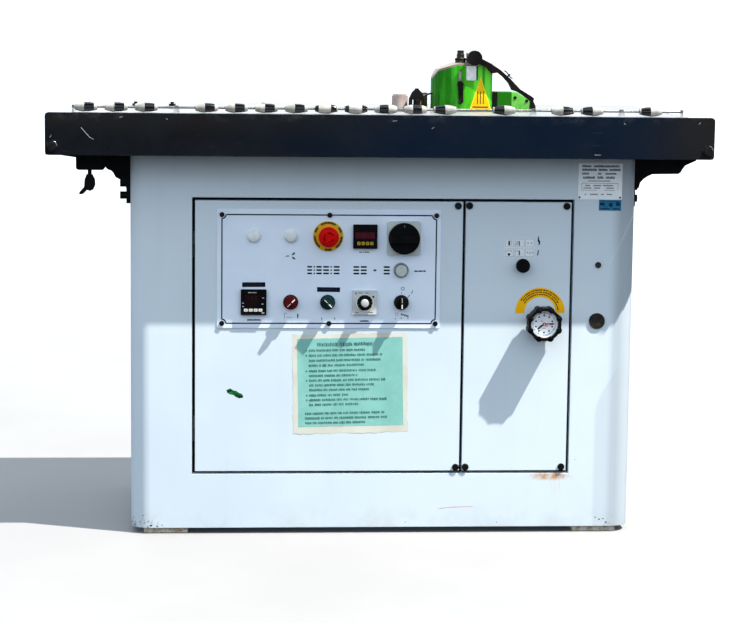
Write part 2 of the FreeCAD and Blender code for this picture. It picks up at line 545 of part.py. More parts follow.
def door_parts():
    front = CABINET_FRONT
    knuckles, bores = hinge_parts()
    sheet_y = f"{front} + pan_sheet"
    deep = f"{sheet_y} + 1"
    through = "pan_sheet + plate_thick_front + 4"

    def round_hole(radius, x, z):
        return cylinder(radius, through, x, deep, z, "-y")

    def square_hole(size, x, z):
        return block(around(x, f"{size} + cutout_gap"), (f"{PLATE_FRONT} - 2", deep),
                     around(z, f"{size} + cutout_gap"))

    def device_holes():
        made = [round_hole("operator_hole", x, "lower_row") for _, x, _ in SELECTORS]
        made += [round_hole("operator_hole", x, "upper_row") for x in LAMPS + [column(2)]]
        made.append(round_hole("operator_hole", "button_x", "button_z"))
        made += [square_hole("meter_body", x, z) for _, x, z, _ in METERS]
        made.append(square_hole("meter_body", column(3), "lower_row"))
        made.append(square_hole("switch_body", "switch_x", "switch_z"))
        made += [round_hole("screw_hole", x, z) for x, z in PLATE_SCREWS]
        return made

    door_x = (f"gap_left + {HALF_GAP}", f"gap_middle - {HALF_GAP}")
    panel_z = (f"gap_low + {HALF_GAP}", f"gap_high - {HALF_GAP}")
    door_holes = device_holes() + [round_hole("screw_hole", x, z) for x, z in DOOR_SCREWS]
    node("door_panel", cut(fuse(pan(door_x, panel_z), *knuckles), *bores, *door_holes))

    plate = block(("plate_left", "plate_right"), (PLATE_FRONT, front), ("plate_low", "plate_high"))
    plate = rounded(plate, 3, lambda e: along(e, FreeCAD.Vector(0, 1, 0)))
    node("control_plate", cut(plate, *device_holes()))

    node("door_screws", group(
        *screws(DOOR_SCREWS, "panel_screw_radius", "panel_screw_head", front, "pan_sheet + 4"),
        *screws(PLATE_SCREWS, "screw_radius", "screw_head", PLATE_FRONT,
                "pan_sheet + plate_thick_front + 4")))

    for label, x, z, size in METERS:
        bezel = block(around(x, size), (f"{PLATE_FRONT} - meter_bezel", PLATE_FRONT), around(z, size))
        bezel = rounded(bezel, 2, lambda e: along(e, FreeCAD.Vector(0, 1, 0)))
        case = block(around(x, "meter_body"), (PLATE_FRONT, f"{PLATE_FRONT} + meter_body_long"),
                     around(z, "meter_body"))
        node(label, fuse(bezel, case))

    timer_x, timer_front = column(3), f"{PLATE_FRONT} - meter_bezel"
    timer = fuse(block(around(timer_x, "meter_size"), (timer_front, PLATE_FRONT),
                       around("lower_row", "meter_size")),
                 block(around(timer_x, "meter_body"), (PLATE_FRONT, f"{PLATE_FRONT} + meter_body_long"),
                       around("lower_row", "meter_body")),
                 cylinder("timer_ring_radius", "timer_ring_long", timer_x, timer_front, "lower_row", "-y"))
    timer_bore = cylinder("stem_bore", "stem_long + 8", timer_x, f"{timer_front} + stem_long", "lower_row",
                          "-y")
    node("timer_base", cut(timer, timer_bore))
    knob_y = f"{timer_front} - timer_ring_long - 0.4"
    node("timer_knob", fuse(cylinder("timer_knob_radius", "timer_knob_long", timer_x, knob_y, "lower_row",
                                     "-y"),
                            cylinder("stem_radius", "stem_long", timer_x, f"{knob_y} + stem_long",
                                     "lower_row",
                                     "-y")))

    lamps = []
    for i, x in enumerate(LAMPS):
        dome = turned(f"lamp_dome_{i}", "XY_Plane", [
            ("0", "0"), ("lamp_radius", "0"), ("lamp_radius", "-2"), ("lamp_radius*0.93", "-lamp_rise*0.55"),
            ("lamp_radius*0.72", "-lamp_rise*0.83"), ("lamp_radius*0.38", "-lamp_rise*0.97"), ("0",
                                                                                               "-lamp_rise"),
        ], "V_Axis", x, PLATE_FRONT, "upper_row")
        body = cylinder("operator_body_radius", "operator_body_long", x,
                        f"{PLATE_FRONT} + operator_body_long", "upper_row", "-y")
        lamps.append(fuse(dome, body))
    node("signal_lamps", group(*lamps))

    places = [(x, "lower_row") for _, x, _ in SELECTORS] + [("button_x", "button_z")]
    bezels = []
    for x, z in places:
        solid = fuse(cylinder("bezel_radius", "bezel_thick", x, PLATE_FRONT, z, "-y"),
                     cylinder("operator_body_radius", "operator_body_long", x,
                              f"{PLATE_FRONT} + operator_body_long", z, "-y"))
        bezels.append(cut(solid, cylinder("stem_bore", "stem_long + bezel_thick + 14", x,
                                          f"{PLATE_FRONT} + stem_long + 10", z, "-y")))
    node("operator_bezels", group(*bezels))

    stop_x = column(2)
    disc = cylinder("stop_disc_radius", "stop_disc_thick", stop_x, PLATE_FRONT, "upper_row", "-y")
    collar = cylinder("stop_collar_radius", "stop_collar_long", stop_x, PLATE_FRONT, "upper_row", "-y")
    case = cylinder("operator_body_radius", "operator_body_long", stop_x,
                    f"{PLATE_FRONT} + operator_body_long",
                    "upper_row", "-y")
    bore = cylinder("stop_neck_radius + 0.05", "stop_collar_long + 21", stop_x, f"{PLATE_FRONT} + 20",
                    "upper_row", "-y")
    node("emergency_stop_base", cut(fuse(disc, collar, case), bore))

    size = around("switch_x", "switch_size")
    base = rounded(block(size, (f"{PLATE_FRONT} - switch_thick", PLATE_FRONT),
                         around("switch_z", "switch_size")),
                   "switch_corner", lambda e: along(e, FreeCAD.Vector(0, 1, 0)))
    case = block(around("switch_x", "switch_body"), (PLATE_FRONT, f"{PLATE_FRONT} + switch_body_long"),
                 around("switch_z", "switch_body"))
    bore = cylinder("stem_bore", "stem_long + switch_thick + 12", "switch_x",
                    f"{PLATE_FRONT} + stem_long + 8",
                    "switch_z", "-y")
    node("main_switch_base", cut(fuse(base, case), bore))


def leaning_grip(name, wide, long, lean, deep, x, y, z):
    """A straight grip on a knob's face, leaning from upright to the right by degrees."""
    c, s = round(math.cos(math.radians(lean)), 4), round(math.sin(math.radians(lean)), 4)
    corners = [(f"-({wide})/2", f"-({long})/2"), (f"({wide})/2", f"-({long})/2"),
               (f"({wide})/2", f"({long})/2"), (f"-({wide})/2", f"({long})/2")]
    outline = [(f"({a})*{c} + ({b})*{s}", f"({b})*{c} - ({a})*{s}") for a, b in corners]
    return padded(name, "XZ_Plane", outline, deep, x, y, z)


def door_controls():
    """The knobs and buttons that turn or travel in the door's devices."""
    face = f"{PLATE_FRONT} - bezel_thick - 0.4"
    for label, x, lean in SELECTORS:
        barrel = cylinder("selector_radius", "selector_long", x, face, "lower_row", "-y")
        grip = leaning_grip(f"{label}_grip", "selector_grip_wide", "2*selector_radius - 3", lean,
                            "selector_grip_long", x, f"{face} - selector_long - selector_grip_long/2", "lower_row")
        stem = cylinder("stem_radius", "stem_long", x, f"{face} + stem_long", "lower_row", "-y")
        node(label, fuse(barrel, grip, stem))

    button_back = f"{PLATE_FRONT} - bezel_thick - button_travel_gap"
    node("push_button", fuse(
        cylinder("button_radius", "button_long", "button_x", button_back, "button_z", "-y"),
        cylinder("stem_radius", "stem_long", "button_x", f"{button_back} + stem_long", "button_z", "-y")))

    stop_x = column(2)
    head_back = f"{PLATE_FRONT} - stop_collar_long - stop_travel_gap"
    head = turned("stop_mushroom", "XY_Plane", [
        ("0", "0"), ("stop_head_radius - 4", "0"), ("stop_head_radius", "-3"), ("stop_head_radius",
                                                                                "-stop_head_long*0.55"),
        ("stop_head_radius - 3", "-stop_head_long*0.85"), ("stop_head_radius - 8", "-stop_head_long"),
        ("0", "-stop_head_long"),
    ], "V_Axis", stop_x, head_back, "upper_row")
    neck = cylinder("stop_neck_radius", "stop_travel_gap + stop_collar_long + 8", stop_x,
                    f"{head_back} + stop_travel_gap + stop_collar_long + 8", "upper_row", "-y")
    node("emergency_stop_head", fuse(head, neck))

    face = f"{PLATE_FRONT} - switch_thick - 0.4"
    knob = cylinder("switch_knob_radius", "switch_knob_long", "switch_x", face, "switch_z", "-y")
    grip = block(around("switch_x", "2*switch_knob_radius - 6"),
                 (f"{face} - switch_knob_long - switch_grip_long", f"{face} - switch_knob_long"),
                 around("switch_z", "switch_grip_wide"))
    stem = cylinder("stem_radius", "stem_long", "switch_x", f"{face} + stem_long", "switch_z", "-y")
    node("main_switch_knob", fuse(knob, grip, stem))


# ---------------------------------------------------------------- service panel and speed control

def service_panel_parts():
    front = CABINET_FRONT
    x = (f"gap_middle + {HALF_GAP}", f"gap_right - {HALF_GAP}")
    z = (f"gap_low + {HALF_GAP}", f"gap_high - {HALF_GAP}")
    places = [(a, b) for a in (f"{x[0]} + panel_screw_inset_x - 1", f"{x[1]} - panel_screw_inset_x - 2")
              for b in (f"{z[0]} + panel_screw_inset_z", f"{z[1]} - panel_screw_inset_z")]
    deep = f"{front} + pan_sheet + 1"
    holes = [cylinder("screw_hole", "pan_sheet + 2", a, deep, b, "-y") for a, b in places]
    holes.append(cylinder("spindle_hole", "pan_sheet + 2", "wheel_x", deep, "wheel_z", "-y"))
    holes.append(cylinder("pull_stem + 2.2", "pan_sheet + 2", "pull_x", deep, "pull_z", "-y"))
    node("service_panel", cut(pan(x, z), *holes))
    node("service_panel_screws", group(*screws(places, "panel_screw_radius", "panel_screw_head", front,
                                               "pan_sheet + 4")))

    bushing = fuse(cylinder("pull_stem + 5", "4", "pull_x", front, "pull_z", "-y"),
                   cylinder("pull_stem + 2", "14", "pull_x", f"{front} + 14", "pull_z", "-y"))
    bushing = cut(bushing, cylinder("pull_bore", "30", "pull_x", f"{front} + 20", "pull_z", "-y"))
    plugs = [cylinder(radius, "plug_rise", "plug_x", front, z, "-y")
             for radius, z in (("plug_small_radius", "plug_small_z"), ("plug_big_radius", "plug_big_z"))]
    node("panel_plugs", group(bushing, *plugs))

    pull_back = f"{front} - pull_gap"
    knob = turned("pull_knob", "XY_Plane", [
        ("0", "0"), ("pull_radius*0.6", "0"), ("pull_radius", "-pull_long*0.35"), ("pull_radius",
                                                                                   "-pull_long*0.75"),
        ("pull_radius*0.8", "-pull_long"), ("0", "-pull_long"),
    ], "V_Axis", "pull_x", pull_back, "pull_z")
    stem = cylinder("pull_stem", f"pull_stem_end - ({pull_back})", "pull_x", "pull_stem_end", "pull_z", "-y")
    node("push_pull_knob", fuse(knob, stem))


def speed_control_parts():
    back = f"({CABINET_FRONT} - wheel_back_gap)"
    long = "(wheel_web + wheel_rim_long)"
    rim = cylinder("wheel_radius", long, "wheel_x", back, "wheel_z", "-y")
    lobes = []
    for i in range(8):
        angle = 22.5 + 45 * i
        lobes.append(cylinder("lobe_radius", long, f"wheel_x + lobe_circle*cos({angle})", back,
                              f"wheel_z + lobe_circle*sin({angle})", "-y"))
    bore = cylinder("dial_radius + dial_gap", "wheel_rim_long + 1", "wheel_x", f"{back} - wheel_web",
                    "wheel_z", "-y")
    pin = cylinder("centre_pin_radius", "dial_long - dial_recess - 1", "wheel_x", f"{back} - wheel_web",
                   "wheel_z", "-y")
    node("handwheel", fuse(cut(fuse(rim, *lobes), bore), pin))
    node("control_spindle", cylinder("spindle_radius", f"spindle_end - {back}", "wheel_x", "spindle_end",
                                     "wheel_z", "-y"))

    dial_back = f"({back} - wheel_web - dial_gap)"
    face = f"({dial_back} - dial_long + dial_recess)"
    drum = cylinder("dial_radius", "dial_long", "wheel_x", dial_back, "wheel_z", "-y")
    recess = cylinder("dial_radius - dial_lip", "dial_recess + 1", "wheel_x", face, "wheel_z", "-y")
    bore = cylinder("dial_bore", "dial_long - dial_recess - 1", "wheel_x", dial_back, "wheel_z", "-y")
    arbor = cylinder("needle_pin_radius", "dial_recess - 2", "wheel_x", face, "wheel_z", "-y")
    node("gravity_dial", fuse(cut(drum, recess, bore), arbor))

    def needle(label, length, angle, gap):
        """A needle with its hub on the arbor, pointing at an angle from three o'clock."""
        y = (f"{face} - {gap} - needle_thick", f"{face} - {gap}")
        blade = doc.addObject("Part::Box", "Needle")
        bind(blade, Length=length, Width="needle_thick", Height="needle_wide")
        turn = FreeCAD.Rotation(FreeCAD.Vector(0, -1, 0), angle)
        shift = f"needle_wide/2*sin({angle})", f"-needle_wide/2*cos({angle})"
        place(blade, f"wheel_x + {shift[0]}", y[0], f"wheel_z + {shift[1]}")
        blade.Placement.Rotation = turn
        hub = cylinder("needle_hub_radius", "needle_thick", "wheel_x", y[1], "wheel_z", "-y")
        bore = cylinder("needle_bore", "needle_thick + 2", "wheel_x", f"{y[1]} + 1", "wheel_z", "-y")
        node(label, cut(fuse(blade, hub), bore))

    needle("pointer_black", "black_needle_long", 218, 0.5)
    needle("pointer_red", "red_needle_long", 4, 1.9)


def drive_parts():
    shell = block(("variator_left", "variator_right"), ("variator_front", "variator_back"),
                  ("variator_low", "variator_high"))
    shell = rounded(shell, 10, lambda e: along(e, FreeCAD.Vector(0, 0, 1)))
    boss = cylinder("boss_radius", "variator_front - boss_front + 1", "wheel_x", "variator_front + 1",
                    "wheel_z", "-y")
    spindle_bore = cylinder("spindle_bore", "60", "wheel_x", "spindle_end + 2", "wheel_z", "-y")
    collar = cylinder("boss_radius", "8", "wheel_x", "drive_y", "variator_high - 1")
    shaft_bore = cylinder("drive_shaft_bore", "variator_high + 10 - drive_shaft_low", "wheel_x", "drive_y",
                          "drive_shaft_low - 1")
    node("speed_variator", cut(fuse(shell, boss, collar), spindle_bore, shaft_bore))

    motor = cylinder("motor_radius", "motor_end - variator_back", "wheel_x", "motor_end", "wheel_z", "-y")
    ribs = [cylinder("motor_radius + 5", "5", "wheel_x", f"variator_back + {20 + 14 * i}", "wheel_z", "-y")
            for i in range(10)]
    box = block(around("wheel_x", "motor_box"), ("variator_back + 50", "variator_back + 130"),
                ("wheel_z + motor_radius - 6", "wheel_z + motor_radius + motor_box_rise"))
    node("drive_motor", fuse(motor, *ribs, box))

    def sprocket(x, y, z):
        return cylinder("sprocket_radius", "sprocket_thick", x, y, z)

    upper, lower = "upper_chain_z", "lower_chain_z"
    node("drive_shaft", fuse(
        cylinder("drive_shaft_radius", f"{upper} + sprocket_thick + 4 - drive_shaft_low", "wheel_x",
                 "drive_y",
                 "drive_shaft_low"),
        sprocket("wheel_x", "drive_y", upper)))

    foot = "table_height + roller_lift"
    feed_drum = cylinder("feed_radius", f"feed_high - ({foot})", "feed_x", "drive_y", foot)
    feed_cap = cylinder("feed_radius - 2.5", "feed_cap", "feed_x", "drive_y", "feed_high")
    feed_shaft = cylinder("roller_shaft", f"feed_high - {lower} + 2", "feed_x", "drive_y", f"{lower} - 2")
    node("feed_roller", fuse(feed_drum, feed_cap, feed_shaft, sprocket("feed_x", "drive_y", upper),
                             sprocket("feed_x", "drive_y", lower)))
    glue_drum = cylinder("glue_radius", f"glue_high - ({foot})", "glue_x", "glue_y", foot)
    glue_shaft = cylinder("roller_shaft", f"glue_high - {lower} + 2", "glue_x", "glue_y", f"{lower} - 2")
    node("glue_roller", fuse(glue_drum, glue_shaft, sprocket("glue_x", "glue_y", lower)))

    bearings = []
    for x, y in (("feed_x", "drive_y"), ("glue_x", "glue_y")):
        ring = cylinder("bearing_radius", "bearing_high", x, y, f"{BOARD_UNDER} - bearing_high")
        bearings.append(cut(ring, cylinder("roller_shaft_bore", "bearing_high + 2", x, y,
                                           f"{BOARD_UNDER} - bearing_high - 1")))
    node("shaft_bearings", group(*bearings))

    def loop(length, grow):
        """The stadium outline that runs round two equal sprockets, the first at the origin."""
        radius = f"(sprocket_radius + chain_gap + {grow})"
        return fuse(cylinder(radius, "chain_high", "0", "0", "0"),
                    cylinder(radius, "chain_high", length, "0", "0"),
                    block(("0", length), (f"-{radius}", radius), ("0", "chain_high")))

    def chain(length, x, y, z, angle):
        made = cut(loop(length, "chain_wide"), loop(length, "0"))
        place(made, x, y, z)
        made.Placement.Rotation = FreeCAD.Rotation(FreeCAD.Vector(0, 0, 1), angle)
        return made

    reach_x = VALUES["glue_x"] - VALUES["feed_x"]
    reach_y = VALUES["glue_y"] - VALUES["drive_y"]
    rise = "(sprocket_thick - chain_high)/2"
    span = "sqrt((glue_x - feed_x)^2 + (glue_y - drive_y)^2)"
    node("drive_chain", group(
        chain("wheel_x - feed_x", "feed_x", "drive_y", f"{upper} + {rise}", 0),
        chain(span, "feed_x", "drive_y", f"{lower} + {rise}", math.degrees(math.atan2(reach_y, reach_x)))))


def electrical_parts():
    plate = block(("panel_plate_left", "panel_plate_right"),
                  ("panel_plate_y", "panel_plate_y + panel_plate_thick"),
                  ("panel_plate_low", "panel_plate_high"))

    def device(x, z, width, height, depth):
        return block((f"panel_plate_left + {x}", f"panel_plate_left + {x + width}"),
                     (f"panel_plate_y - {depth}", "panel_plate_y"),
                     (f"panel_plate_low + {z}", f"panel_plate_low + {z + height}"))

    rows = [device(30 + 52 * i, 300, 45, 80, 70) for i in range(4)]
    rows += [device(30 + 22 * i, 190, 18, 80, 60) for i in range(9)]
    rows.append(device(250, 290, 110, 100, 90))
    rows.append(device(30, 60, 330, 45, 40))
    rows += [device(20, 400, 360, 30, 50), device(20, 130, 360, 30, 50)]
    node("electrical_panel", group(plate, *rows))


# ---------------------------------------------------------------- roller rail

def roller_rail_parts():
    rod = cylinder("rod_radius", "rod_right - rod_left", "rod_left", ROD_Y, ROD_Z, "x")
    blocks = [block((x, f"{x} + rod_block_long"), around(ROD_Y, "rod_block_wide"),
                    ("table_height", "table_height + rod_block_high"))
              for x in ("rod_left", "rod_right - rod_block_long")]
    posts = []
    for i, place_index in enumerate((3, 15, 18)):
        x = f"roller_first + {place_index}*roller_pitch"
        posts.append(padded(f"rod_post_{i}", "XZ_Plane", [
            ("-7", "table_height"), ("7", "table_height"), ("3.5", "table_height + post_height"),
            ("-3.5", "table_height + post_height"),
        ], "8", x, ROD_Y, "0"))
    node("roller_rail", fuse(rod, *blocks, *posts))


def roller(name):
    """An olive-shaped roller with its bore along X."""
    half, bore, end = "roller_long/2", "roller_bore", "roller_end_radius"
    body = doc.addObject("PartDesign::Body", name)
    sketch = body.newObject("Sketcher::SketchObject", name + "Sketch")
    support = next(o for o in body.Origin.OriginFeatures if o.Role == "XY_Plane")
    sketch.AttachmentSupport = [(support, "")]
    sketch.MapMode = "FlatFace"
    half_value, end_value = VALUES["roller_long"] / 2, VALUES["roller_end_radius"]
    sagitta = VALUES["roller_radius"] - end_value
    arc_radius = (half_value ** 2 + sagitta ** 2) / (2 * sagitta)
    centre = FreeCAD.Vector(0, VALUES["roller_radius"] - arc_radius, 0)
    swing = math.asin(half_value / arc_radius)
    corners = [FreeCAD.Vector(-half_value, VALUES["roller_bore"], 0),
               FreeCAD.Vector(half_value, VALUES["roller_bore"], 0),
               FreeCAD.Vector(half_value, end_value, 0), FreeCAD.Vector(-half_value, end_value, 0)]
    circle = Part.Circle(centre, FreeCAD.Vector(0, 0, 1), arc_radius)
    sketch.addGeometry(Part.LineSegment(corners[0], corners[1]))
    sketch.addGeometry(Part.LineSegment(corners[1], corners[2]))
    sketch.addGeometry(Part.ArcOfCircle(circle, math.pi / 2 - swing, math.pi / 2 + swing))
    sketch.addGeometry(Part.LineSegment(corners[3], corners[0]))
    for i in range(4):
        sketch.addConstraint(Sketcher.Constraint("Coincident", i, 2, (i + 1) % 4, 1))
    places = [(f"-{half}", bore), (half, bore), (half, end), (f"-{half}", end)]
    for i, point in enumerate(places):
        for kind, text, start in zip(("DistanceX", "DistanceY"), point, corners[i]):
            index = sketch.addConstraint(Sketcher.Constraint(kind, -1, 1, i, 1, start))
            sketch.renameConstraint(index, f"{kind}{i}")
            sketch.setExpression(f"Constraints.{kind}{i}", expression(text))
    index = sketch.addConstraint(Sketcher.Constraint("Radius", 2, arc_radius))
    sketch.renameConstraint(index, "Bulge")
    rise = "(roller_radius - roller_end_radius)"
    sketch.setExpression("Constraints.Bulge", expression(f"(({half})^2 + {rise}^2)/(2*{rise})"))
    revolution = body.newObject("PartDesign::Revolution", name + "Turned")
    revolution.Profile = sketch
    revolution.ReferenceAxis = (sketch, ["H_Axis"])
    revolution.Angle = 360
    return body


ROLLER_PLACES = {"table_rollers_left": (0, 1, 2, 4, 5, 6, 7, 8),
                 "table_rollers_right": (9, 10, 11, 12, 14, 16, 17, 19)}


def roller_parts():
    for label, places in ROLLER_PLACES.items():
        rollers = [place(roller(f"{label}_{i}"), f"roller_first + {i}*roller_pitch", ROD_Y,
                         ROD_Z) for i in places]
        node(label, group(*rollers))


# ---------------------------------------------------------------- glue unit and tools on the table

def cover_centre():
    """The middle of the cover's round end, where the glue pot stands, and its radius."""
    radius = "((cover_back - cover_front)/2)"
    return f"(cover_left + {radius})", "((cover_front + cover_back)/2)", radius


def cover_prism(shrink, z):
    """The cover's plan, round at the left and square at the right, drawn in by an offset."""
    x, y, radius = cover_centre()
    return fuse(cylinder(f"{radius} - {shrink}", f"({z[1]}) - ({z[0]})", x, y, z[0]),
                block((x, f"cover_right - {shrink}"), (f"cover_front + {shrink}", f"cover_back - {shrink}"),
                      z))


def slope_band(name, low, high):
    """The band between two heights below and above the sloping rim, wide enough for the whole cover."""
    outline = [("cover_left - 3", f"cover_low_rim + {low}"),
               ("cover_shoulder_x", f"cover_shoulder + {low}"), ("cover_slope_x", f"cover_high + {low}"),
               ("cover_right + 5", f"cover_high + {low}"), ("cover_right + 5", f"cover_high + {high}"),
               ("cover_slope_x", f"cover_high + {high}"), ("cover_shoulder_x", f"cover_shoulder + {high}"),
               ("cover_left - 3", f"cover_low_rim + {high}")]
    return padded(name, "XZ_Plane", outline, "cover_back - cover_front + 10",
                  y="(cover_front + cover_back)/2")


def glue_unit_parts():
    pot_x, pot_y, _ = cover_centre()
    tank = fuse(cylinder("pot_radius", "pot_high - pot_low", pot_x, pot_y, "pot_low"),
                cylinder("pot_flange_radius", "pot_flange_thick", pot_x, pot_y, "table_height"))
    node("glue_pot", cut(tank, cylinder("pot_radius - pot_wall", "pot_high - pot_low", pot_x, pot_y,
                                        "pot_low + 2*pot_wall")))

    low = "(table_height + cover_foot_gap)"
    tube = cut(cover_prism("0", (low, "cover_high + 20")),
               cover_prism("cover_wall", (f"{low} - 1", "cover_high + 21")))
    slot = block(around("slot_x", "slot_wide"), ("cover_front - 1", "cover_front + cover_wall + 1"),
                 ("slot_low", "slot_high"))
    node("glue_cover", cut(tube, slot, slope_band("cover_top_cut", "0", "60")))

    plate = common(cover_prism("0", ("cover_low_rim - 20", "cover_high + 30")),
                   slope_band("lid_band", "0", "lid_thick"))
    top = "cover_high + lid_thick"
    valve = fuse(*[cylinder(f"valve_radius*{share}", f"{end} - ({top})", "valve_x", "valve_y", top)
                   for share, end in ((1, "valve_neck"), (0.72, "valve_cap"), (0.62, "valve_high"))])
    lug = block(around("pivot_x", "22"), ("arm_back + 1", "lug_back"), (f"{top} - 1", "pivot_z + 9"))
    lug = cut(lug, cylinder("pivot_bore", "lug_back - arm_back + 10", "pivot_x", "lug_back + 5", "pivot_z",
                            "-y"))
    node("glue_lid", group(fuse(plate, lug), valve))

    lever_y = "cover_front - 0.5"
    head = cylinder("glue_lever_head", "glue_lever_thick", "slot_x", lever_y,
                    "glue_lever_high - glue_lever_head", "-y")
    shank = padded("glue_lever_shank", "XZ_Plane", [
        ("-5.4", "glue_lever_high - 9.5"), ("5.4", "glue_lever_high - 9.5"), ("6.4", "glue_lever_low + 2"),
        ("5", "glue_lever_low"), ("2", "glue_lever_low"), ("0.6", "glue_lever_low + 2"),
    ], "glue_lever_thick", "slot_x", f"{lever_y} - glue_lever_thick/2")
    handle = fuse(head, shank)
    tongue = block(around("slot_x", "slot_wide - 0.8"), (lever_y, "cover_front + cover_wall + 3"),
                   ("glue_lever_low + 18", "glue_lever_low + 38"))
    node("glue_lever", fuse(handle, tongue))


def table_tool_parts():
    reach, thick = "pressure_half", "pressure_thick"
    foot = "table_height + 3"
    arch = padded("pressure_arch", "XZ_Plane", [
        (f"-{reach}", foot), (f"-{reach}", "pressure_high - 19"), ("-10", "pressure_high - 6"),
        ("-4", "pressure_high"), ("4", "pressure_high"), ("10", "pressure_high - 6"),
        (reach, "pressure_high - 19"), (reach, foot), ("9", foot), ("9", "pressure_high - 21"),
        ("-9", "pressure_high - 21"), ("-9", foot),
    ], thick, "pressure_x", "pressure_y")
    hub = cylinder("7", f"pressure_high - 21 - ({foot})", "pressure_x", "pressure_y", foot)
    bore = cylinder("pressure_bore", "pressure_high", "pressure_x", "pressure_y", "table_height")
    node("pressure_arm", cut(fuse(arch, hub), bore))

    post = cylinder("pressure_post", "pressure_post_high - table_height", "pressure_x", "pressure_y",
                    "table_height")
    wide = ("guide_front", "guide_front + guide_wide")
    disc = cylinder("guide_radius", "guide_wide", "guide_x", wide[1], "table_height + 2", "-y")
    core = cylinder("guide_radius - guide_thick", "guide_wide + 2", "guide_x", f"{wide[1]} + 1",
                    "table_height + 2", "-y")
    keep = block(("guide_x - guide_radius - 1", "guide_x - 3"), wide,
                 ("table_height", "table_height + guide_radius + 5"))
    base = block(("guide_x - guide_radius", "guide_x - guide_radius + 12"), wide,
                 ("table_height", "table_height + 3"))
    node("tape_guide", group(post, fuse(common(cut(disc, core), keep), base)))

    box = block(("trim_left", "trim_right"), ("trim_front", "trim_back"), ("table_height", "trim_high"))
    slot = block(("blade_x - blade_play", "blade_x + blade_thick + blade_play"),
                 ("blade_front - blade_play", "trim_back + 1"),
                 ("blade_low - blade_play", "trim_high + 1"))
    holes = [cylinder("2.2", "12", x, "trim_front + 10", z, "-y")
             for x, z in (("trim_right - 31", "trim_high - 12"), ("trim_right - 6.5", "trim_high - 18.5"))]
    slope = padded("trim_slope", "XZ_Plane", [
        ("trim_right - 30", "trim_high + 1"), ("trim_right + 1", "trim_high + 1"), ("trim_right + 1",
                                                                                    "trim_high - 17"),
    ], "trim_back - trim_front + 4", y="(trim_front + trim_back)/2")
    node("trim_housing", cut(box, slot, slope, *holes))
    node("trim_blade", block(("blade_x", "blade_x + blade_thick"), ("blade_front", "blade_back"),
                             ("blade_low", "blade_high")))

    strap = padded("guard_strap", "XZ_Plane", [
        ("-10", "-6"), ("-9", "6"), ("2", "10"), ("12", "0.5"), ("33", "-10"), ("54", "-23.5"), ("74.5",
                                                                                                 "-41"),
        ("95", "-62"), ("116", "-74.5"), ("124", "-80"), ("122.5", "-86"), ("127", "-95"), ("127", "-102"),
        ("115", "-102"), ("116", "-92"), ("115.5", "-86"), ("110.5", "-82"), ("100", "-74"), ("88", "-67"),
        ("77.5", "-64"), ("70.5", "-50"), ("59", "-37.5"), ("48.5", "-29"), ("36", "-31"), ("24",
                                                                                            "-18"), ("8",
                                                                                                     "-11"),
    ], "arm_back - arm_front", "pivot_x", "(arm_front + arm_back)/2", "pivot_z")
    pin = cylinder("pivot_radius", "lug_back + 4 - arm_front", "pivot_x", "lug_back + 4", "pivot_z", "-y")
    grip = cylinder("knob_radius", "knob_long", "pivot_x", "arm_front - 0.01", "pivot_z", "-y")
    node("guard_arm", fuse(strap, pin, grip))


table_parts()
bracket_parts()
cabinet_parts()
door_parts()
door_controls()
service_panel_parts()
speed_control_parts()
drive_parts()
electrical_parts()
roller_rail_parts()
roller_parts()
glue_unit_parts()
table_tool_parts()
doc.recompute()

failed = [f"{o.Name} ({o.Label}): {o.State}" for o in doc.Objects if "Invalid" in o.State or "Error" in o.State]
failed += [f"{o.Label}: empty or invalid shape" for o in NODES if o.Shape.isNull() or not o.Shape.isValid()]
failed += [f"{o.Label}: no solid" for o in NODES if not o.Shape.Solids]
if failed:
    raise SystemExit("failed: " + "; ".join(failed))

os.makedirs("parts", exist_ok=True)
for name in os.listdir("parts"):
    os.remove(os.path.join("parts", name))
whole = FreeCAD.BoundBox()
for obj in NODES:
    obj.Shape.exportStep(f"parts/{obj.Label}.step")
    whole.add(obj.Shape.BoundBox)
print(len(NODES), "sub-parts", whole)
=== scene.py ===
"""Looks of the contour edge banding machine: materials, prints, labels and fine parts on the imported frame.

Lengths are metres in the machine's own frame: +X to the operator's right, +Y away from the operator, +Z up.
Sizes written in millimetres are multiplied by MM.
"""

import json
import math
import random

import bmesh
import bpy
from mathutils import Matrix, Vector

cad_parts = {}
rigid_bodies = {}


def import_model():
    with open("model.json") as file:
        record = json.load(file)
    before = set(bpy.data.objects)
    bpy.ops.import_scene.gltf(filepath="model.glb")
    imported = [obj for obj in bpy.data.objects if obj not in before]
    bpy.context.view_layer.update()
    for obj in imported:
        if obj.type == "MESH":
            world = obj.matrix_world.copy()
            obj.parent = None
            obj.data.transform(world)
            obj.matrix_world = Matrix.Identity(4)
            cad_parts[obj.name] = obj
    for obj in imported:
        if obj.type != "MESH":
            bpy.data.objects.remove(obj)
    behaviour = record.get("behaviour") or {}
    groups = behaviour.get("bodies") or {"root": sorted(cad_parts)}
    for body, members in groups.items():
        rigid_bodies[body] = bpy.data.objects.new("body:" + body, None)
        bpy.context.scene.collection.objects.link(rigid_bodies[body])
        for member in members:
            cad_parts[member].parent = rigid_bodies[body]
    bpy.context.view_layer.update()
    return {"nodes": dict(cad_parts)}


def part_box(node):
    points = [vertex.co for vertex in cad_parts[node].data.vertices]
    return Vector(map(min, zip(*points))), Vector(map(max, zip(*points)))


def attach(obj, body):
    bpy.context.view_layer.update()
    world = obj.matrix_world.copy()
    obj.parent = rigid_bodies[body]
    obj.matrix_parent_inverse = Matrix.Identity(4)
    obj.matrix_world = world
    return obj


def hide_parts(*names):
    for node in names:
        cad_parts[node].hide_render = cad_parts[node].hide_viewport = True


MM = 0.001

for old in list(bpy.data.objects):
    bpy.data.objects.remove(old, do_unlink=True)
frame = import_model()
NODES = frame["nodes"]


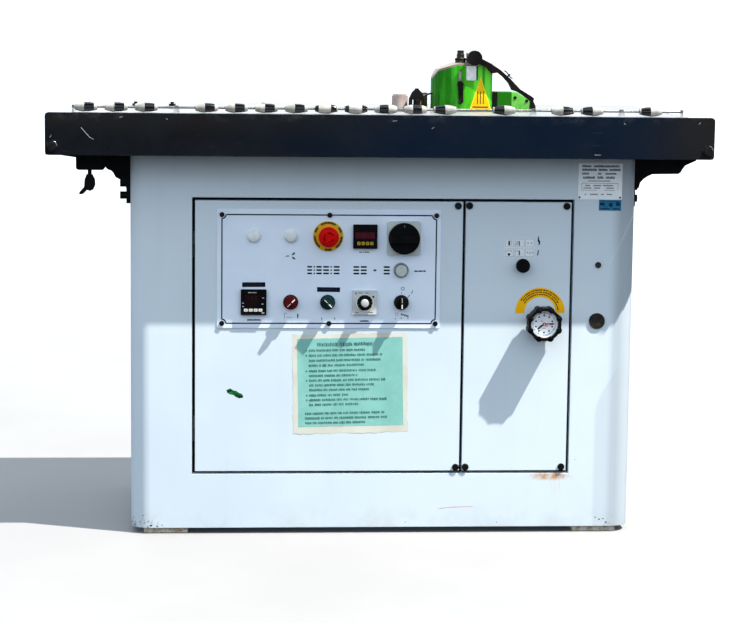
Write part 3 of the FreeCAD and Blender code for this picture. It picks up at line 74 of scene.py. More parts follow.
# ---------------------------------------------------------------- camera, floor, light

def look_matrix(place, yaw, pitch, roll):
    """The matrix of a camera that looks along +Y turned by yaw to the right, pitch down and roll."""
    ahead = Vector((math.sin(yaw) * math.cos(pitch), math.cos(yaw) * math.cos(pitch), -math.sin(pitch)))
    right = Vector((math.cos(yaw), -math.sin(yaw), 0))
    up = right.cross(ahead)
    across = math.cos(roll) * right - math.sin(roll) * up
    above = math.sin(roll) * right + math.cos(roll) * up
    turn = Matrix((across, above, -ahead)).transposed()
    return Matrix.Translation(place) @ turn.to_4x4()


EYE = Vector((-0.3148, -4.5041, 1.0215))
YAW, PITCH, ROLL = 0.072501, 0.131788, -0.012008
lens = bpy.data.cameras.new("view")
lens.sensor_width = 36
lens.lens = 103.835
lens.clip_start, lens.clip_end = 0.05, 200
camera = bpy.data.objects.new("view", lens)
bpy.context.scene.collection.objects.link(camera)
camera.matrix_world = look_matrix(EYE, YAW, PITCH, ROLL)
bpy.context.scene.camera = camera


def area_light(name, place, aim, size, power, colour):
    light = bpy.data.lights.new(name, "AREA")
    light.shape = "DISK"
    light.size = size
    light.energy = power
    light.color = colour
    made = bpy.data.objects.new(name, light)
    bpy.context.scene.collection.objects.link(made)
    made.location = place
    made.rotation_euler = (Vector(aim) - Vector(place)).to_track_quat("-Z", "Y").to_euler()


MACHINE = (0.0, 0.0, 0.5)
area_light("key", (5.80, -2.80, 11.0), (0.0, -0.1, 0.5), 0.12, 5100, (1.0, 0.955, 0.89))
area_light("fill", (-3.0, -4.0, 2.0), MACHINE, 2.4, 8, (0.90, 0.95, 1.0))
area_light("back", (-1.5, 3.6, 3.0), MACHINE, 2.6, 60, (0.95, 0.97, 1.0))

def studio_sky():
    """A pale sky that is dark below the horizon; its tones follow the height of the direction."""
    world = bpy.data.worlds.new("studio")
    world.use_nodes = True
    sky, backdrop = world.node_tree, world.node_tree.nodes["Background"]
    direction = sky.nodes.new("ShaderNodeTexCoord")
    split = sky.nodes.new("ShaderNodeSeparateXYZ")
    height = sky.nodes.new("ShaderNodeMapRange")
    height.inputs["From Min"].default_value, height.inputs["From Max"].default_value = -0.10, 0.60
    tones = sky.nodes.new("ShaderNodeValToRGB")
    stops = tones.color_ramp.elements
    stops[0].color, stops[1].color = (0.045, 0.055, 0.065, 1), (0.76, 0.88, 1.0, 1)
    for place, colour in ((0.080, (0.06, 0.07, 0.08, 1)), (0.092, (0.72, 0.73, 0.74, 1)),
                          (0.20, (0.70, 0.73, 0.76, 1)), (0.30, (0.55, 0.64, 0.75, 1))):
        stops.new(place).color = colour
    sky.links.new(direction.outputs["Generated"], split.inputs["Vector"])
    sky.links.new(split.outputs["Z"], height.inputs["Value"])
    sky.links.new(height.outputs["Result"], tones.inputs["Fac"])
    sky.links.new(tones.outputs["Color"], backdrop.inputs["Color"])
    backdrop.inputs["Strength"].default_value = 1.50
    bpy.context.scene.world = world


studio_sky()
bpy.context.scene.view_settings.view_transform = "Standard"


# ---------------------------------------------------------------- materials

class Finish:
    """A node material whose patterns are fixed to the machine's own coordinates, in metres."""

    def __init__(self, name, rough=0.5, metal=0.0, coat=0.0, specular=0.5):
        self.made = bpy.data.materials.new(name)
        self.made.use_nodes = True
        self.tree = self.made.node_tree
        self.shader = self.tree.nodes["Principled BSDF"]
        for label, value in (("Roughness", rough), ("Metallic", metal), ("Coat Weight", coat),
                             ("Coat Roughness", 0.12), ("Specular IOR Level", specular)):
            self.shader.inputs[label].default_value = value
        self.place = self.add("ShaderNodeTexCoord").outputs["Object"]

    def add(self, kind, **settings):
        node = self.tree.nodes.new(kind)
        for label, value in settings.items():
            setattr(node, label, value)
        return node

    def feed(self, socket, value):
        if isinstance(value, bpy.types.NodeSocket):
            self.tree.links.new(value, socket)
        elif isinstance(value, tuple) and len(value) == 3 and socket.type == "RGBA":
            socket.default_value = (*value, 1)
        else:
            socket.default_value = value

    def stretched(self, factors):
        node = self.add("ShaderNodeMapping")
        self.feed(node.inputs["Vector"], self.place)
        node.inputs["Scale"].default_value = factors
        return node.outputs["Vector"]

    def noise(self, scale, detail=3.0, grain=0.55, stretch=None):
        node = self.add("ShaderNodeTexNoise")
        self.feed(node.inputs["Vector"], self.stretched(stretch) if stretch else self.place)
        self.feed(node.inputs["Scale"], scale)
        self.feed(node.inputs["Detail"], detail)
        self.feed(node.inputs["Roughness"], grain)
        return node.outputs["Fac"]

    def span(self, value, low, high, to_low=0.0, to_high=1.0):
        """value from low to high becomes to_low to to_high, smoothly, and is held outside."""
        node = self.add("ShaderNodeMapRange", interpolation_type="SMOOTHSTEP", clamp=True)
        for index, entry in enumerate((value, low, high, to_low, to_high)):
            self.feed(node.inputs[index], entry)
        return node.outputs["Result"]

    def calculate(self, operation, first, second=0.0):
        node = self.add("ShaderNodeMath", operation=operation, use_clamp=operation != "SUBTRACT")
        self.feed(node.inputs[0], first)
        self.feed(node.inputs[1], second)
        return node.outputs["Value"]

    def times(self, first, second):
        return self.calculate("MULTIPLY", first, second)

    def axis(self, letter):
        node = self.add("ShaderNodeSeparateXYZ")
        self.feed(node.inputs[0], self.place)
        return node.outputs[letter]

    def spot(self, centre, reach, edge=0.5):
        """1 inside an ellipsoid, falling to 0 at its surface."""
        shift = self.add("ShaderNodeVectorMath", operation="SUBTRACT")
        self.feed(shift.inputs[0], self.place)
        shift.inputs[1].default_value = centre
        scale = self.add("ShaderNodeVectorMath", operation="DIVIDE")
        self.feed(scale.inputs[0], shift.outputs["Vector"])
        scale.inputs[1].default_value = reach
        length = self.add("ShaderNodeVectorMath", operation="LENGTH")
        self.feed(length.inputs[0], scale.outputs["Vector"])
        return self.span(length.outputs["Value"], edge, 1.0, 1.0, 0.0)

    def mix(self, factor, first, second):
        node = self.add("ShaderNodeMix", data_type="RGBA")
        self.feed(node.inputs[0], factor)
        self.feed(node.inputs[6], first)
        self.feed(node.inputs[7], second)
        return node.outputs[2]

    def edges(self, radius):
        """1 along sharp outer edges, 0 on the flats."""
        soft = self.add("ShaderNodeBevel", samples=4)
        soft.inputs["Radius"].default_value = radius
        dot = self.add("ShaderNodeVectorMath", operation="DOT_PRODUCT")
        self.feed(dot.inputs[0], soft.outputs["Normal"])
        self.feed(dot.inputs[1], self.add("ShaderNodeNewGeometry").outputs["Normal"])
        return self.span(dot.outputs["Value"], 0.80, 0.985, 1.0, 0.0)

    def bump(self, height, strength, distance=MM, soften=None):
        node = self.add("ShaderNodeBump")
        node.inputs["Strength"].default_value = strength
        node.inputs["Distance"].default_value = distance
        self.feed(node.inputs["Height"], height)
        if soften:
            soft = self.add("ShaderNodeBevel", samples=4)
            soft.inputs["Radius"].default_value = soften
            self.feed(node.inputs["Normal"], soft.outputs["Normal"])
        self.feed(self.shader.inputs["Normal"], node.outputs["Normal"])

    def patches(self, scale, low, high, to_low=0.0, to_high=1.0, detail=5.0, grain=0.7, stretch=None):
        """Noise from low to high becomes to_low to to_high: patches with soft edges."""
        return self.span(self.noise(scale, detail, grain, stretch), low, high, to_low, to_high)

    def rubbed(self, radius, scale, low, high, most=1.0):
        """Patches along the sharp edges, where a surface is rubbed through."""
        return self.times(self.edges(radius), self.patches(scale, low, high, 0.0, most))

    def tones(self, pattern, first, second, low=0.3, high=0.7):
        """A colour that wanders between two tones as a pattern goes from low to high."""
        return self.mix(self.span(pattern, low, high), first, second)

    def colour(self, value):
        self.tone = value
        self.feed(self.shader.inputs["Base Color"], value)

    def layer(self, cover, value):
        """Lays a colour over the one that is there, as far as cover says."""
        self.colour(self.mix(cover, self.tone, value))

    def rough(self, pattern, low, high):
        self.feed(self.shader.inputs["Roughness"], self.span(pattern, 0.3, 0.7, low, high))


def plain(name, light, dark, rough=(0.35, 0.5), scale=9.0, grain=900.0, bump=0.06, soften=0.0006, **facts):
    """A slightly uneven finish: two near tones, a varying gloss and a fine surface grain."""
    facts.setdefault("specular", 0.15)
    made = Finish(name, **facts)
    made.colour(made.tones(made.noise(scale, 4.0), dark, light, 0.35, 0.68))
    made.rough(made.noise(scale * 6, 3.0), *rough)
    made.bump(made.noise(grain, 2.0), bump, 0.2 * MM, soften)
    return made.made


def worn(name, light, dark, under, wear=0.6, rough=(0.35, 0.5), scale=9.0, grain=900.0, bump=0.08,
         edge=0.0012, **facts):
    """Paint or plastic rubbed through along its edges."""
    facts.setdefault("specular", 0.15)
    made = Finish(name, **facts)
    made.colour(made.tones(made.noise(scale, 4.0), dark, light, 0.35, 0.68))
    made.layer(made.rubbed(edge, scale * 7, 1 - wear, 1.12 - wear), under)
    made.rough(made.noise(scale * 6, 3.0), *rough)
    made.bump(made.noise(grain, 2.0), bump, 0.2 * MM, edge * 0.6)
    return made.made


def turned_metal(name, light, dark, rough=0.3, scale=(60, 60, 1400)):
    """Metal with fine tool marks along one direction."""
    made = Finish(name, rough=rough, metal=1.0)
    lines = made.noise(1.0, 4.0, 0.6, scale)
    made.colour(made.tones(lines, dark, light))
    made.rough(made.noise(40, 3.0), rough * 0.8, rough * 1.4)
    made.bump(lines, 0.12, 0.1 * MM, 0.0004)
    return made.made


def cabinet_finish():
    """Pale powder coat: dirty foot, rust stain, chips along the floor, painted shade under the table, a
    painted shadow on the front's right and painted shade on the right side.
    """
    made = Finish("cabinet_powder_coat", rough=0.4, coat=0.12)
    across, deep, high = (made.axis(letter) for letter in "XYZ")
    painted_shade_tone, rear = (0.36, 0.41, 0.45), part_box("cabinet_shell")[1].y
    made.colour(made.tones(made.noise(2.2, 3.0), (0.600, 0.690, 0.755), (0.670, 0.755, 0.810)))
    made.layer(made.patches(1.0, 0.52, 0.8, 0.0, 0.16, 5.0, 0.6, (38, 38, 2.2)), (0.57, 0.60, 0.60))
    foot = made.times(made.span(high, 0.012, 0.075, 0.24, 0.0), made.patches(16, 0.4, 0.7, detail=6.0))
    made.layer(foot, (0.40, 0.375, 0.31))
    rust = made.spot((0.352, -0.217, 0.1155), (0.058, 0.03, 0.011), 0.2)
    made.layer(made.times(rust, made.patches(85, 0.34, 0.62, 0.25, 1.0)), (0.50, 0.24, 0.085))
    run = made.spot((0.362, -0.217, 0.098), (0.022, 0.03, 0.030), 0.1)
    streaks = made.patches(1.0, 0.45, 0.7, 0.0, 0.5, 4.0, 0.6, (240, 240, 20))
    made.layer(made.times(run, streaks), (0.62, 0.45, 0.27))
    bottom = made.span(high, 0.012, 0.045, 1.0, 0.0)
    ends = made.span(made.calculate("ABSOLUTE", made.calculate("SUBTRACT", across, 0.012)), 0.42, 0.5)
    chips = made.times(made.times(bottom, ends), made.patches(210, 0.56, 0.60, detail=3.0, grain=0.65))
    bare = made.calculate("MAXIMUM", chips, made.rubbed(0.0016, 60, 0.60, 0.70, 0.75))
    made.layer(bare, (0.075, 0.062, 0.050))
    # painted shade: the paint darkens just under the table's overhang
    painted_shade_under_table = made.times(made.span(high, 0.690, 0.770), made.patches(5, 0.2, 0.7, 0.55, 0.85, 4.0, 0.6))
    made.layer(made.times(painted_shade_under_table, 0.50), (0.13, 0.155, 0.160))
    # painted shadow: a darker strip on the front's right, its edge curving towards the corner higher up
    past_painted_shadow_edge = made.calculate("SUBTRACT", across, made.span(high, 0.24, 0.39, 0.441, 0.500))
    strip = made.times(made.span(past_painted_shadow_edge, -0.003, 0.005, 0.0, 0.28), made.span(deep, -0.16, -0.15, 1.0, 0.0))
    made.layer(strip, painted_shade_tone)
    # painted shade: the right corner and right side are darker, against the key light that falls on them
    made.layer(made.times(made.span(across, 0.462, 0.490, 0.0, 0.9),
                          made.span(deep, rear - 0.004, rear - 0.002, 1.0, 0.0)), painted_shade_tone)
    made.layer(made.patches(1.0, 0.745, 0.775, 0.0, 0.35, 2.0, 0.5, (9, 9, 700)), (0.50, 0.55, 0.60))
    made.rough(made.noise(24, 4.0), 0.30, 0.46)
    made.bump(made.noise(520, 2.0), 0.10, 0.15 * MM, 0.0011)
    return made.made


def fascia_finish():
    """Dark laminate, cooler in the middle, with dust along the top, scuffs, flecks and rubbed edges."""
    made = Finish("fascia_dark_laminate", rough=0.55, specular=0.05)
    across, high = made.axis("X"), made.axis("Z")
    made.colour(made.mix(made.span(across, -0.40, 0.10), (0.0036, 0.0042, 0.0058), (0.0020, 0.0066, 0.0165)))
    made.layer(made.span(across, 0.50, 0.62), (0.0105, 0.0098, 0.0095))
    made.layer(made.times(made.span(high, 0.79, 0.845), made.span(across, 0.25, -0.45)),
               (0.0092, 0.0088, 0.0088))
    made.layer(made.patches(7, 0.42, 0.78, 0.0, 0.7, grain=0.6), (0.0085, 0.0110, 0.0150))
    made.layer(made.times(made.span(high, 0.825, 0.846), made.patches(26, 0.48, 0.74, 0.0, 0.4)),
               (0.060, 0.065, 0.070))
    made.layer(made.patches(1.0, 0.66, 0.76, 0.0, 0.4, 4.0, 0.65, (16, 16, 230)), (0.050, 0.055, 0.060))
    made.layer(made.patches(160, 0.69, 0.74, 0.0, 0.5, 4.0), (0.12, 0.125, 0.13))
    made.layer(made.rubbed(0.0022, 48, 0.46, 0.62, 0.7), (0.12, 0.12, 0.13))
    made.rough(made.noise(12, 5.0), 0.32, 0.58)
    made.bump(made.noise(420, 3.0), 0.12, 0.2 * MM, 0.0014)
    return made.made


def table_finish():
    """Grey laminate, worn along the feed path and stained with glue; brown core and dark edge bands."""
    made = Finish("table_laminate", rough=0.32, specular=0.3)
    across, deep, high = (made.axis(letter) for letter in "XYZ")
    made.colour(made.tones(made.noise(5, 4.0), (0.195, 0.200, 0.205), (0.232, 0.237, 0.242)))
    feed_path = made.times(made.span(deep, -0.16, -0.04, 1.0, 0.0),
                           made.patches(1.0, 0.45, 0.75, 0.0, 0.35, stretch=(4, 60, 4)))
    made.layer(feed_path, (0.158, 0.154, 0.146))
    made.layer(made.patches(1.0, 0.68, 0.76, 0.0, 0.30, 3.0, 0.6, (6, 420, 6)), (0.142, 0.142, 0.142))
    glue = made.times(made.spot((0.09, -0.06, 0.846), (0.12, 0.07, 0.03), 0.2),
                      made.patches(70, 0.52, 0.66, 0.0, 0.7))
    made.layer(glue, (0.24, 0.17, 0.08))
    core = made.times(made.span(high, 0.8450, 0.8445), made.span(high, 0.8195, 0.8200))
    made.layer(core, (0.30, 0.22, 0.13))
    made.layer(made.span(made.calculate("ABSOLUTE", across), 0.5970, 0.5978), (0.012, 0.012, 0.013))
    made.rough(made.noise(30, 5.0), 0.25, 0.46)
    made.bump(made.noise(700, 2.0), 0.05, 0.1 * MM, 0.0006)
    return made.made


def green_finish():
    """The glue unit's green enamel: painted reflections and painted light on the cover, and the trim
    housing's own darker and lighter tones from left to right.
    """
    made = Finish("machine_green_enamel", rough=0.4, specular=0.08)
    across = made.axis("X")

    def between(start, full, fade, end, most):
        return made.times(made.times(made.span(across, start, full), made.span(across, end, fade)), most)

    made.colour(made.tones(made.noise(14, 4.0), (0.006, 0.120, 0.003), (0.015, 0.200, 0.006)))
    # painted reflections: lighter vertical streaks on the cover
    made.layer(made.patches(1.0, 0.42, 0.66, 0.0, 1.0, 3.0, 0.6, (70, 70, 5)), (0.045, 0.38, 0.020))
    # painted light: the cover grows lighter towards its right
    made.layer(made.span(across, 0.158, 0.190, 0.0, 0.50), (0.085, 0.55, 0.016))
    # painted highlight: a bright band near the cover's right edge, with a darker line through it
    made.layer(between(0.196, 0.200, 0.229, 0.234, 0.85), (0.13, 0.66, 0.045))
    made.layer(between(0.2140, 0.2155, 0.2190, 0.2205, 0.8), (0.012, 0.20, 0.006))
    made.layer(made.span(across, 0.2490, 0.2500), (0.010, 0.105, 0.003))
    made.layer(made.span(across, 0.2922, 0.2932), (0.110, 0.38, 0.060))
    grime = made.times(made.span(made.axis("Z"), 0.847, 0.875, 0.8, 0.0),
                       made.patches(60, 0.42, 0.68, detail=6.0))
    made.layer(grime, (0.035, 0.075, 0.018))
    made.layer(made.rubbed(0.0014, 90, 0.50, 0.62, 0.9), (0.30, 0.34, 0.26))
    made.rough(made.noise(30, 4.0), 0.22, 0.42)
    made.bump(made.noise(380, 2.0), 0.12, 0.15 * MM, 0.0035)
    return made.made


def lid_finish():
    """The lid's tan enamel; what stands on it is black metal slick with oil, with bright glints painted into
    its colour.
    """
    made = Finish("lid_tan_enamel", rough=0.45, specular=0.35)
    made.colour(made.tones(made.noise(26, 4.0), (0.19, 0.145, 0.115), (0.34, 0.27, 0.22)))
    made.layer(made.patches(120, 0.60, 0.70, 0.0, 0.7), (0.05, 0.04, 0.03))
    oily_metal_and_painted_glints = made.mix(made.patches(90, 0.55, 0.66), (0.010, 0.009, 0.008), (0.085, 0.080, 0.055))
    # painted highlights: bright glints laid over the black metal
    oily_metal_and_painted_glints = made.mix(made.patches(55, 0.66, 0.70, detail=4.0), oily_metal_and_painted_glints, (0.52, 0.52, 0.50))
    made.layer(made.span(made.axis("Z"), 0.9443, 0.9447), oily_metal_and_painted_glints)
    made.rough(made.noise(60, 4.0), 0.22, 0.6)
    made.bump(made.noise(420, 3.0), 0.3, 0.2 * MM, 0.0012)
    return made.made


def rail_finish():
    """Grey rod, bright posts and end blocks below it."""
    made = Finish("rod_steel", rough=0.35, metal=1.0)
    lines = made.noise(1.0, 4.0, 0.6, (1400, 60, 60))
    made.colour(made.tones(lines, (0.13, 0.12, 0.11), (0.36, 0.35, 0.34)))
    made.layer(made.span(made.axis("Z"), 0.8541, 0.8537),
               made.tones(made.noise(90, 4.0), (0.62, 0.62, 0.63), (0.80, 0.80, 0.81)))
    made.rough(made.noise(40, 3.0), 0.28, 0.5)
    made.bump(lines, 0.12, 0.1 * MM, 0.0004)
    return made.made


def bezel_finish():
    """Operator bezels: each switch's own dark plastic, and satin metal round the push button."""
    made = Finish("operator_bezels", rough=0.3, specular=0.3)
    across, high = made.axis("X"), made.axis("Z")
    grain = made.noise(120, 3.0)
    made.colour(made.tones(grain, (0.006, 0.006, 0.007), (0.012, 0.012, 0.013)))
    for cover, dark, light in (
            (made.span(across, -0.070, -0.071), (0.004, 0.018, 0.020), (0.007, 0.028, 0.030)),
            (made.span(across, -0.140, -0.141), (0.038, 0.002, 0.004), (0.060, 0.003, 0.005)),
            (made.span(high, 0.505, 0.506), (0.20, 0.23, 0.24), (0.34, 0.37, 0.38))):
        made.layer(cover, made.tones(grain, dark, light))
    made.rough(made.noise(90, 3.0), 0.25, 0.4)
    made.bump(made.noise(900, 2.0), 0.08, 0.1 * MM, 0.0005)
    return made.made


def foot_finish():
    made = Finish("foot_rusty_steel", rough=0.7)
    made.colour(made.mix(made.patches(70, 0.4, 0.62), (0.76, 0.72, 0.62), (0.50, 0.36, 0.20)))
    made.layer(made.patches(160, 0.60, 0.66, detail=4.0), (0.05, 0.035, 0.025))
    made.rough(made.noise(90, 4.0), 0.5, 0.85)
    made.bump(made.noise(300, 5.0, 0.7), 0.5, 0.3 * MM, 0.0006)
    return made.made


def stop_base_finish():
    """The emergency stop's disc: yellow outside, warmer towards the collar."""
    made = Finish("stop_disc_yellow", rough=0.35, specular=0.25)
    low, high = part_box("emergency_stop_base")
    collar = made.spot(((low.x + high.x) / 2, low.y, (low.z + high.z) / 2), (0.026, 1.0, 0.026), 0.93)
    made.colour(made.mix(collar, (0.62, 0.40, 0.008), (0.80, 0.34, 0.008)))
    made.layer(made.patches(190, 0.60, 0.72, 0.0, 0.4, 4.0), (0.34, 0.22, 0.04))
    made.rough(made.noise(80, 3.0), 0.3, 0.45)
    made.bump(made.noise(900, 2.0), 0.06, 0.1 * MM, 0.0004)
    return made.made


def floor_finish():
    """A pale floor that takes the studio's own tone far away, so that no horizon shows."""
    made = Finish("floor_pale", rough=0.85, specular=0.1)
    near = made.tones(made.noise(2.0, 4.0), (0.250, 0.250, 0.252), (0.265, 0.265, 0.265))
    made.colour(made.mix(made.spot((0, 0, 0), (16, 16, 16), 0.06), (1.0, 1.0, 1.0), near))
    made.bump(made.noise(60, 2.0), 0.02)
    return made.made


MATERIALS = {
    "cabinet_paint": cabinet_finish(),
    "fascia_dark": fascia_finish(),
    "frame_paint": worn("frame_dark_paint", (0.014, 0.016, 0.020), (0.007, 0.008, 0.011), (0.12, 0.11, 0.10),
                        wear=0.5, scale=7.0, rough=(0.4, 0.6)),
    "table_laminate": table_finish(),
    "unit_green": green_finish(),
    "foot_steel": foot_finish(),
    "stop_yellow": stop_base_finish(),
    "seal_rubber": plain("seal_rubber", (0.012, 0.012, 0.013), (0.006, 0.006, 0.007), rough=(0.7, 0.9)),
    "hinge_steel": worn("hinge_black", (0.020, 0.021, 0.023), (0.012, 0.013, 0.015), (0.06, 0.06, 0.062),
                        0.45),
    "bracket_black": worn("bracket_black_paint", (0.0060, 0.0060, 0.0065), (0.0030, 0.0030, 0.0035),
                          (0.10, 0.08, 0.06), wear=0.50, rough=(0.4, 0.6), scale=18.0, grain=500.0, bump=0.2,
                          specular=0.06),
    "bolt_black": worn("bolt_blackened", (0.014, 0.014, 0.015), (0.006, 0.006, 0.0065), (0.20, 0.20, 0.21),
                       wear=0.50, rough=(0.3, 0.5), scale=60.0, metal=0.5, edge=0.0008),
    "lever_black": worn("lever_black_plastic", (0.008, 0.008, 0.009), (0.004, 0.004, 0.005),
                        (0.07, 0.07, 0.07), wear=0.45, rough=(0.35, 0.5), scale=40.0, specular=0.08),
    "rod_steel": rail_finish(),
    "roller_plastic": plain("roller_cream_plastic", (0.38, 0.37, 0.34), (0.22, 0.215, 0.20), scale=70.0,
                            rough=(0.35, 0.5)),
    "plate_white": plain("plate_white_overlay", (0.78, 0.865, 0.97), (0.735, 0.82, 0.935), scale=12.0,
                         rough=(0.3, 0.42), grain=1300.0, bump=0.05),
    "screw_steel": worn("screw_blackened", (0.022, 0.022, 0.024), (0.010, 0.010, 0.011), (0.32, 0.31, 0.30),
                        wear=0.5, rough=(0.25, 0.4), scale=90.0, metal=0.7, edge=0.0006),
    "device_black": plain("device_black_plastic", (0.0050, 0.0050, 0.0060), (0.0025, 0.0025, 0.0030),
                          scale=45.0, rough=(0.3, 0.45), grain=1800.0, bump=0.1, soften=0.0005,
                          specular=0.06),
    "switch_grey": plain("switch_grey_plastic", (0.60, 0.64, 0.63), (0.50, 0.54, 0.53), scale=30.0,
                         rough=(0.4, 0.55), grain=1600.0, bump=0.12),
    "knob_black": worn("knob_black_plastic", (0.0045, 0.0045, 0.0055), (0.0022, 0.0022, 0.0028),
                       (0.030, 0.030, 0.032), wear=0.42, rough=(0.38, 0.52), scale=50.0, grain=1500.0,
                       edge=0.0008, specular=0.06),
    "stop_red": plain("stop_red_plastic", (0.70, 0.0020, 0.0020), (0.56, 0.0016, 0.0016), scale=60.0,
                      rough=(0.4, 0.55), soften=0.0008, specular=0.07),
    "timer_grey": plain("timer_grey_plastic", (0.58, 0.60, 0.60), (0.50, 0.52, 0.52), scale=40.0,
                        rough=(0.35, 0.5)),
    "lamp_white": plain("lamp_white_lens", (0.84, 0.86, 0.85), (0.72, 0.75, 0.75), scale=90.0,
                        rough=(0.14, 0.24), coat=0.5, soften=0.0004),
    "bezel_metal": bezel_finish(),
    "button_pale": plain("button_pale_lens", (0.56, 0.60, 0.57), (0.47, 0.51, 0.48), scale=120.0,
                         rough=(0.2, 0.3), coat=0.4),
    "selector_teal": plain("selector_teal_plastic", (0.0065, 0.030, 0.033), (0.0040, 0.019, 0.021),
                           scale=60.0, rough=(0.3, 0.45), specular=0.08),
    "plug_dark": plain("plug_dark_plastic", (0.030, 0.024, 0.020), (0.012, 0.010, 0.009), scale=90.0,
                       rough=(0.4, 0.6), grain=700.0, bump=0.3),
    "dial_white": plain("dial_silver_white", (0.92, 0.95, 0.97), (0.78, 0.81, 0.84), scale=80.0,
                        rough=(0.22, 0.35)),
    "needle_red": plain("needle_red_paint", (0.55, 0.012, 0.016), (0.40, 0.008, 0.012), scale=200.0,
                        rough=(0.3, 0.4)),
    "needle_black": plain("needle_black_paint", (0.012, 0.012, 0.012), (0.006, 0.006, 0.006), scale=200.0,
                          rough=(0.3, 0.4)),
    "spindle_steel": turned_metal("spindle_steel", (0.58, 0.57, 0.55), (0.40, 0.39, 0.38), 0.3,
                                  (90, 90, 1200)),
    "motor_paint": worn("motor_blue_grey_paint", (0.085, 0.125, 0.165), (0.055, 0.085, 0.115),
                        (0.30, 0.28, 0.25), wear=0.55, rough=(0.35, 0.5), scale=20.0),
    "bearing_steel": turned_metal("bearing_oiled_steel", (0.32, 0.31, 0.29), (0.13, 0.12, 0.10), 0.34,
                                  (300, 300, 300)),
    "electrical": plain("electrical_grey", (0.48, 0.50, 0.50), (0.38, 0.40, 0.40), scale=30.0,
                        rough=(0.45, 0.6)),
    "pot_aluminium": turned_metal("pot_cast_aluminium", (0.50, 0.49, 0.46), (0.28, 0.25, 0.20), 0.5,
                                  (120, 120, 120)),
    "lid_tan": lid_finish(),
    "handle_black": worn("handle_black_lacquer", (0.0080, 0.0060, 0.0055), (0.0035, 0.0028, 0.0026),
                         (0.085, 0.050, 0.038), wear=0.58, rough=(0.3, 0.5), scale=45.0, edge=0.0010,
                         specular=0.08),
    "feed_rubber": plain("feed_roller_rubber", (0.38, 0.31, 0.285), (0.24, 0.19, 0.17), scale=60.0,
                         rough=(0.5, 0.7), grain=500.0, bump=0.3),
    "glue_roller_brass": turned_metal("glue_roller_brass", (0.46, 0.31, 0.09), (0.22, 0.13, 0.035), 0.42,
                                      (500, 500, 60)),
    "blade_steel": turned_metal("blade_steel", (0.62, 0.62, 0.63), (0.45, 0.45, 0.46), 0.2, (60, 900, 60)),
}

OWN = {"selector_red": plain("selector_maroon_plastic", (0.066, 0.0028, 0.0045), (0.042, 0.0018, 0.0030),
                             scale=60.0, rough=(0.3, 0.45), specular=0.08)}
for label, thing in NODES.items():
    for holder in thing.material_slots:
        slot_name = holder.material.name.split(".")[0]
        holder.link = "OBJECT"
        holder.material = OWN.get(label, MATERIALS[slot_name])


def ink_finish(name, light, dark, scale=200.0, **facts):
    """A plain finish with the fine pattern that print and small marks have."""
    return plain(name, light, dark, scale=scale, **facts)


PRINT_DARK = plain("print_dark_green", (0.0030, 0.022, 0.016), (0.0018, 0.014, 0.010), scale=150.0,
                   rough=(0.4, 0.5))
PRINT_BLACK = plain("print_black", (0.010, 0.012, 0.016), (0.006, 0.007, 0.010), scale=150.0,
                    rough=(0.4, 0.5))
PRINT_GREY = plain("print_grey", (0.32, 0.37, 0.38), (0.25, 0.30, 0.31), scale=150.0, rough=(0.4, 0.5))
WHITE_MARK = plain("mark_white", (0.82, 0.81, 0.76), (0.72, 0.71, 0.66), scale=150.0, rough=(0.35, 0.45))
ROLLER_BLACK = plain("roller_black_plastic", (0.0060, 0.0060, 0.0070), (0.0030, 0.0030, 0.0035), scale=90.0,
                     rough=(0.16, 0.26), soften=0.0003, specular=0.45)


def sheet_finish(name, light, dark, stain, rough=(0.35, 0.5), scale=30.0):
    """Printed paper or film: uneven tone, faint creases and a few stains."""
    made = Finish(name, rough=0.5, specular=0.1)
    made.colour(made.tones(made.noise(scale, 4.0), dark, light))
    made.layer(made.patches(scale * 2.3, 0.60, 0.78, 0.0, 0.5), stain)
    made.rough(made.noise(scale * 3, 3.0), *rough)
    made.bump(made.noise(scale * 2, 4.0, 0.6), 0.3, 0.5 * MM)
    return made.made


NOTICE_PAPER = sheet_finish("notice_green_paper", (0.250, 0.540, 0.480), (0.208, 0.478, 0.425),
                            (0.17, 0.37, 0.36))
NOTICE_TAPE = sheet_finish("notice_tape", (0.66, 0.66, 0.58), (0.60, 0.58, 0.49), (0.56, 0.47, 0.34),
                           scale=18.0)
LABEL_YELLOW = sheet_finish("label_yellow", (1.0, 0.52, 0.001), (0.97, 0.47, 0.001), (0.85, 0.42, 0.004),
                            scale=60.0)
SIGN_YELLOW = sheet_finish("sign_yellow", (0.70, 0.48, 0.003), (0.64, 0.37, 0.003), (0.56, 0.30, 0.003),
                           scale=40.0)
LABEL_WHITE = sheet_finish("label_white", (0.80, 0.83, 0.86), (0.74, 0.77, 0.81), (0.66, 0.69, 0.72),
                           scale=60.0)
LABEL_BLUE = sheet_finish("label_blue", (0.020, 0.21, 0.36), (0.012, 0.14, 0.25), (0.05, 0.32, 0.46),
                          scale=120.0)
TAPE_DARK = sheet_finish("embossed_tape", (0.0030, 0.0060, 0.0180), (0.0020, 0.0040, 0.0110),
                         (0.0050, 0.0080, 0.0200), scale=70.0)
PLATE_METAL = sheet_finish("nameplate_aluminium", (0.97, 1.0, 1.0), (0.90, 0.95, 1.0), (0.70, 0.78, 0.88),
                           scale=50.0)
DISPLAY_RED = plain("display_dark_red", (0.085, 0.005, 0.018), (0.062, 0.004, 0.013), scale=120.0,
                    rough=(0.2, 0.3))
DISPLAY_MAROON = plain("display_maroon", (0.012, 0.0022, 0.0025), (0.008, 0.0015, 0.0020), scale=120.0,
                       rough=(0.2, 0.3))
KEY_YELLOW = plain("key_yellow", (0.50, 0.33, 0.03), (0.40, 0.26, 0.02), scale=200.0, rough=(0.35, 0.45))
KEY_WHITE = plain("key_white", (0.66, 0.66, 0.62), (0.55, 0.55, 0.51), scale=200.0, rough=(0.35, 0.45))
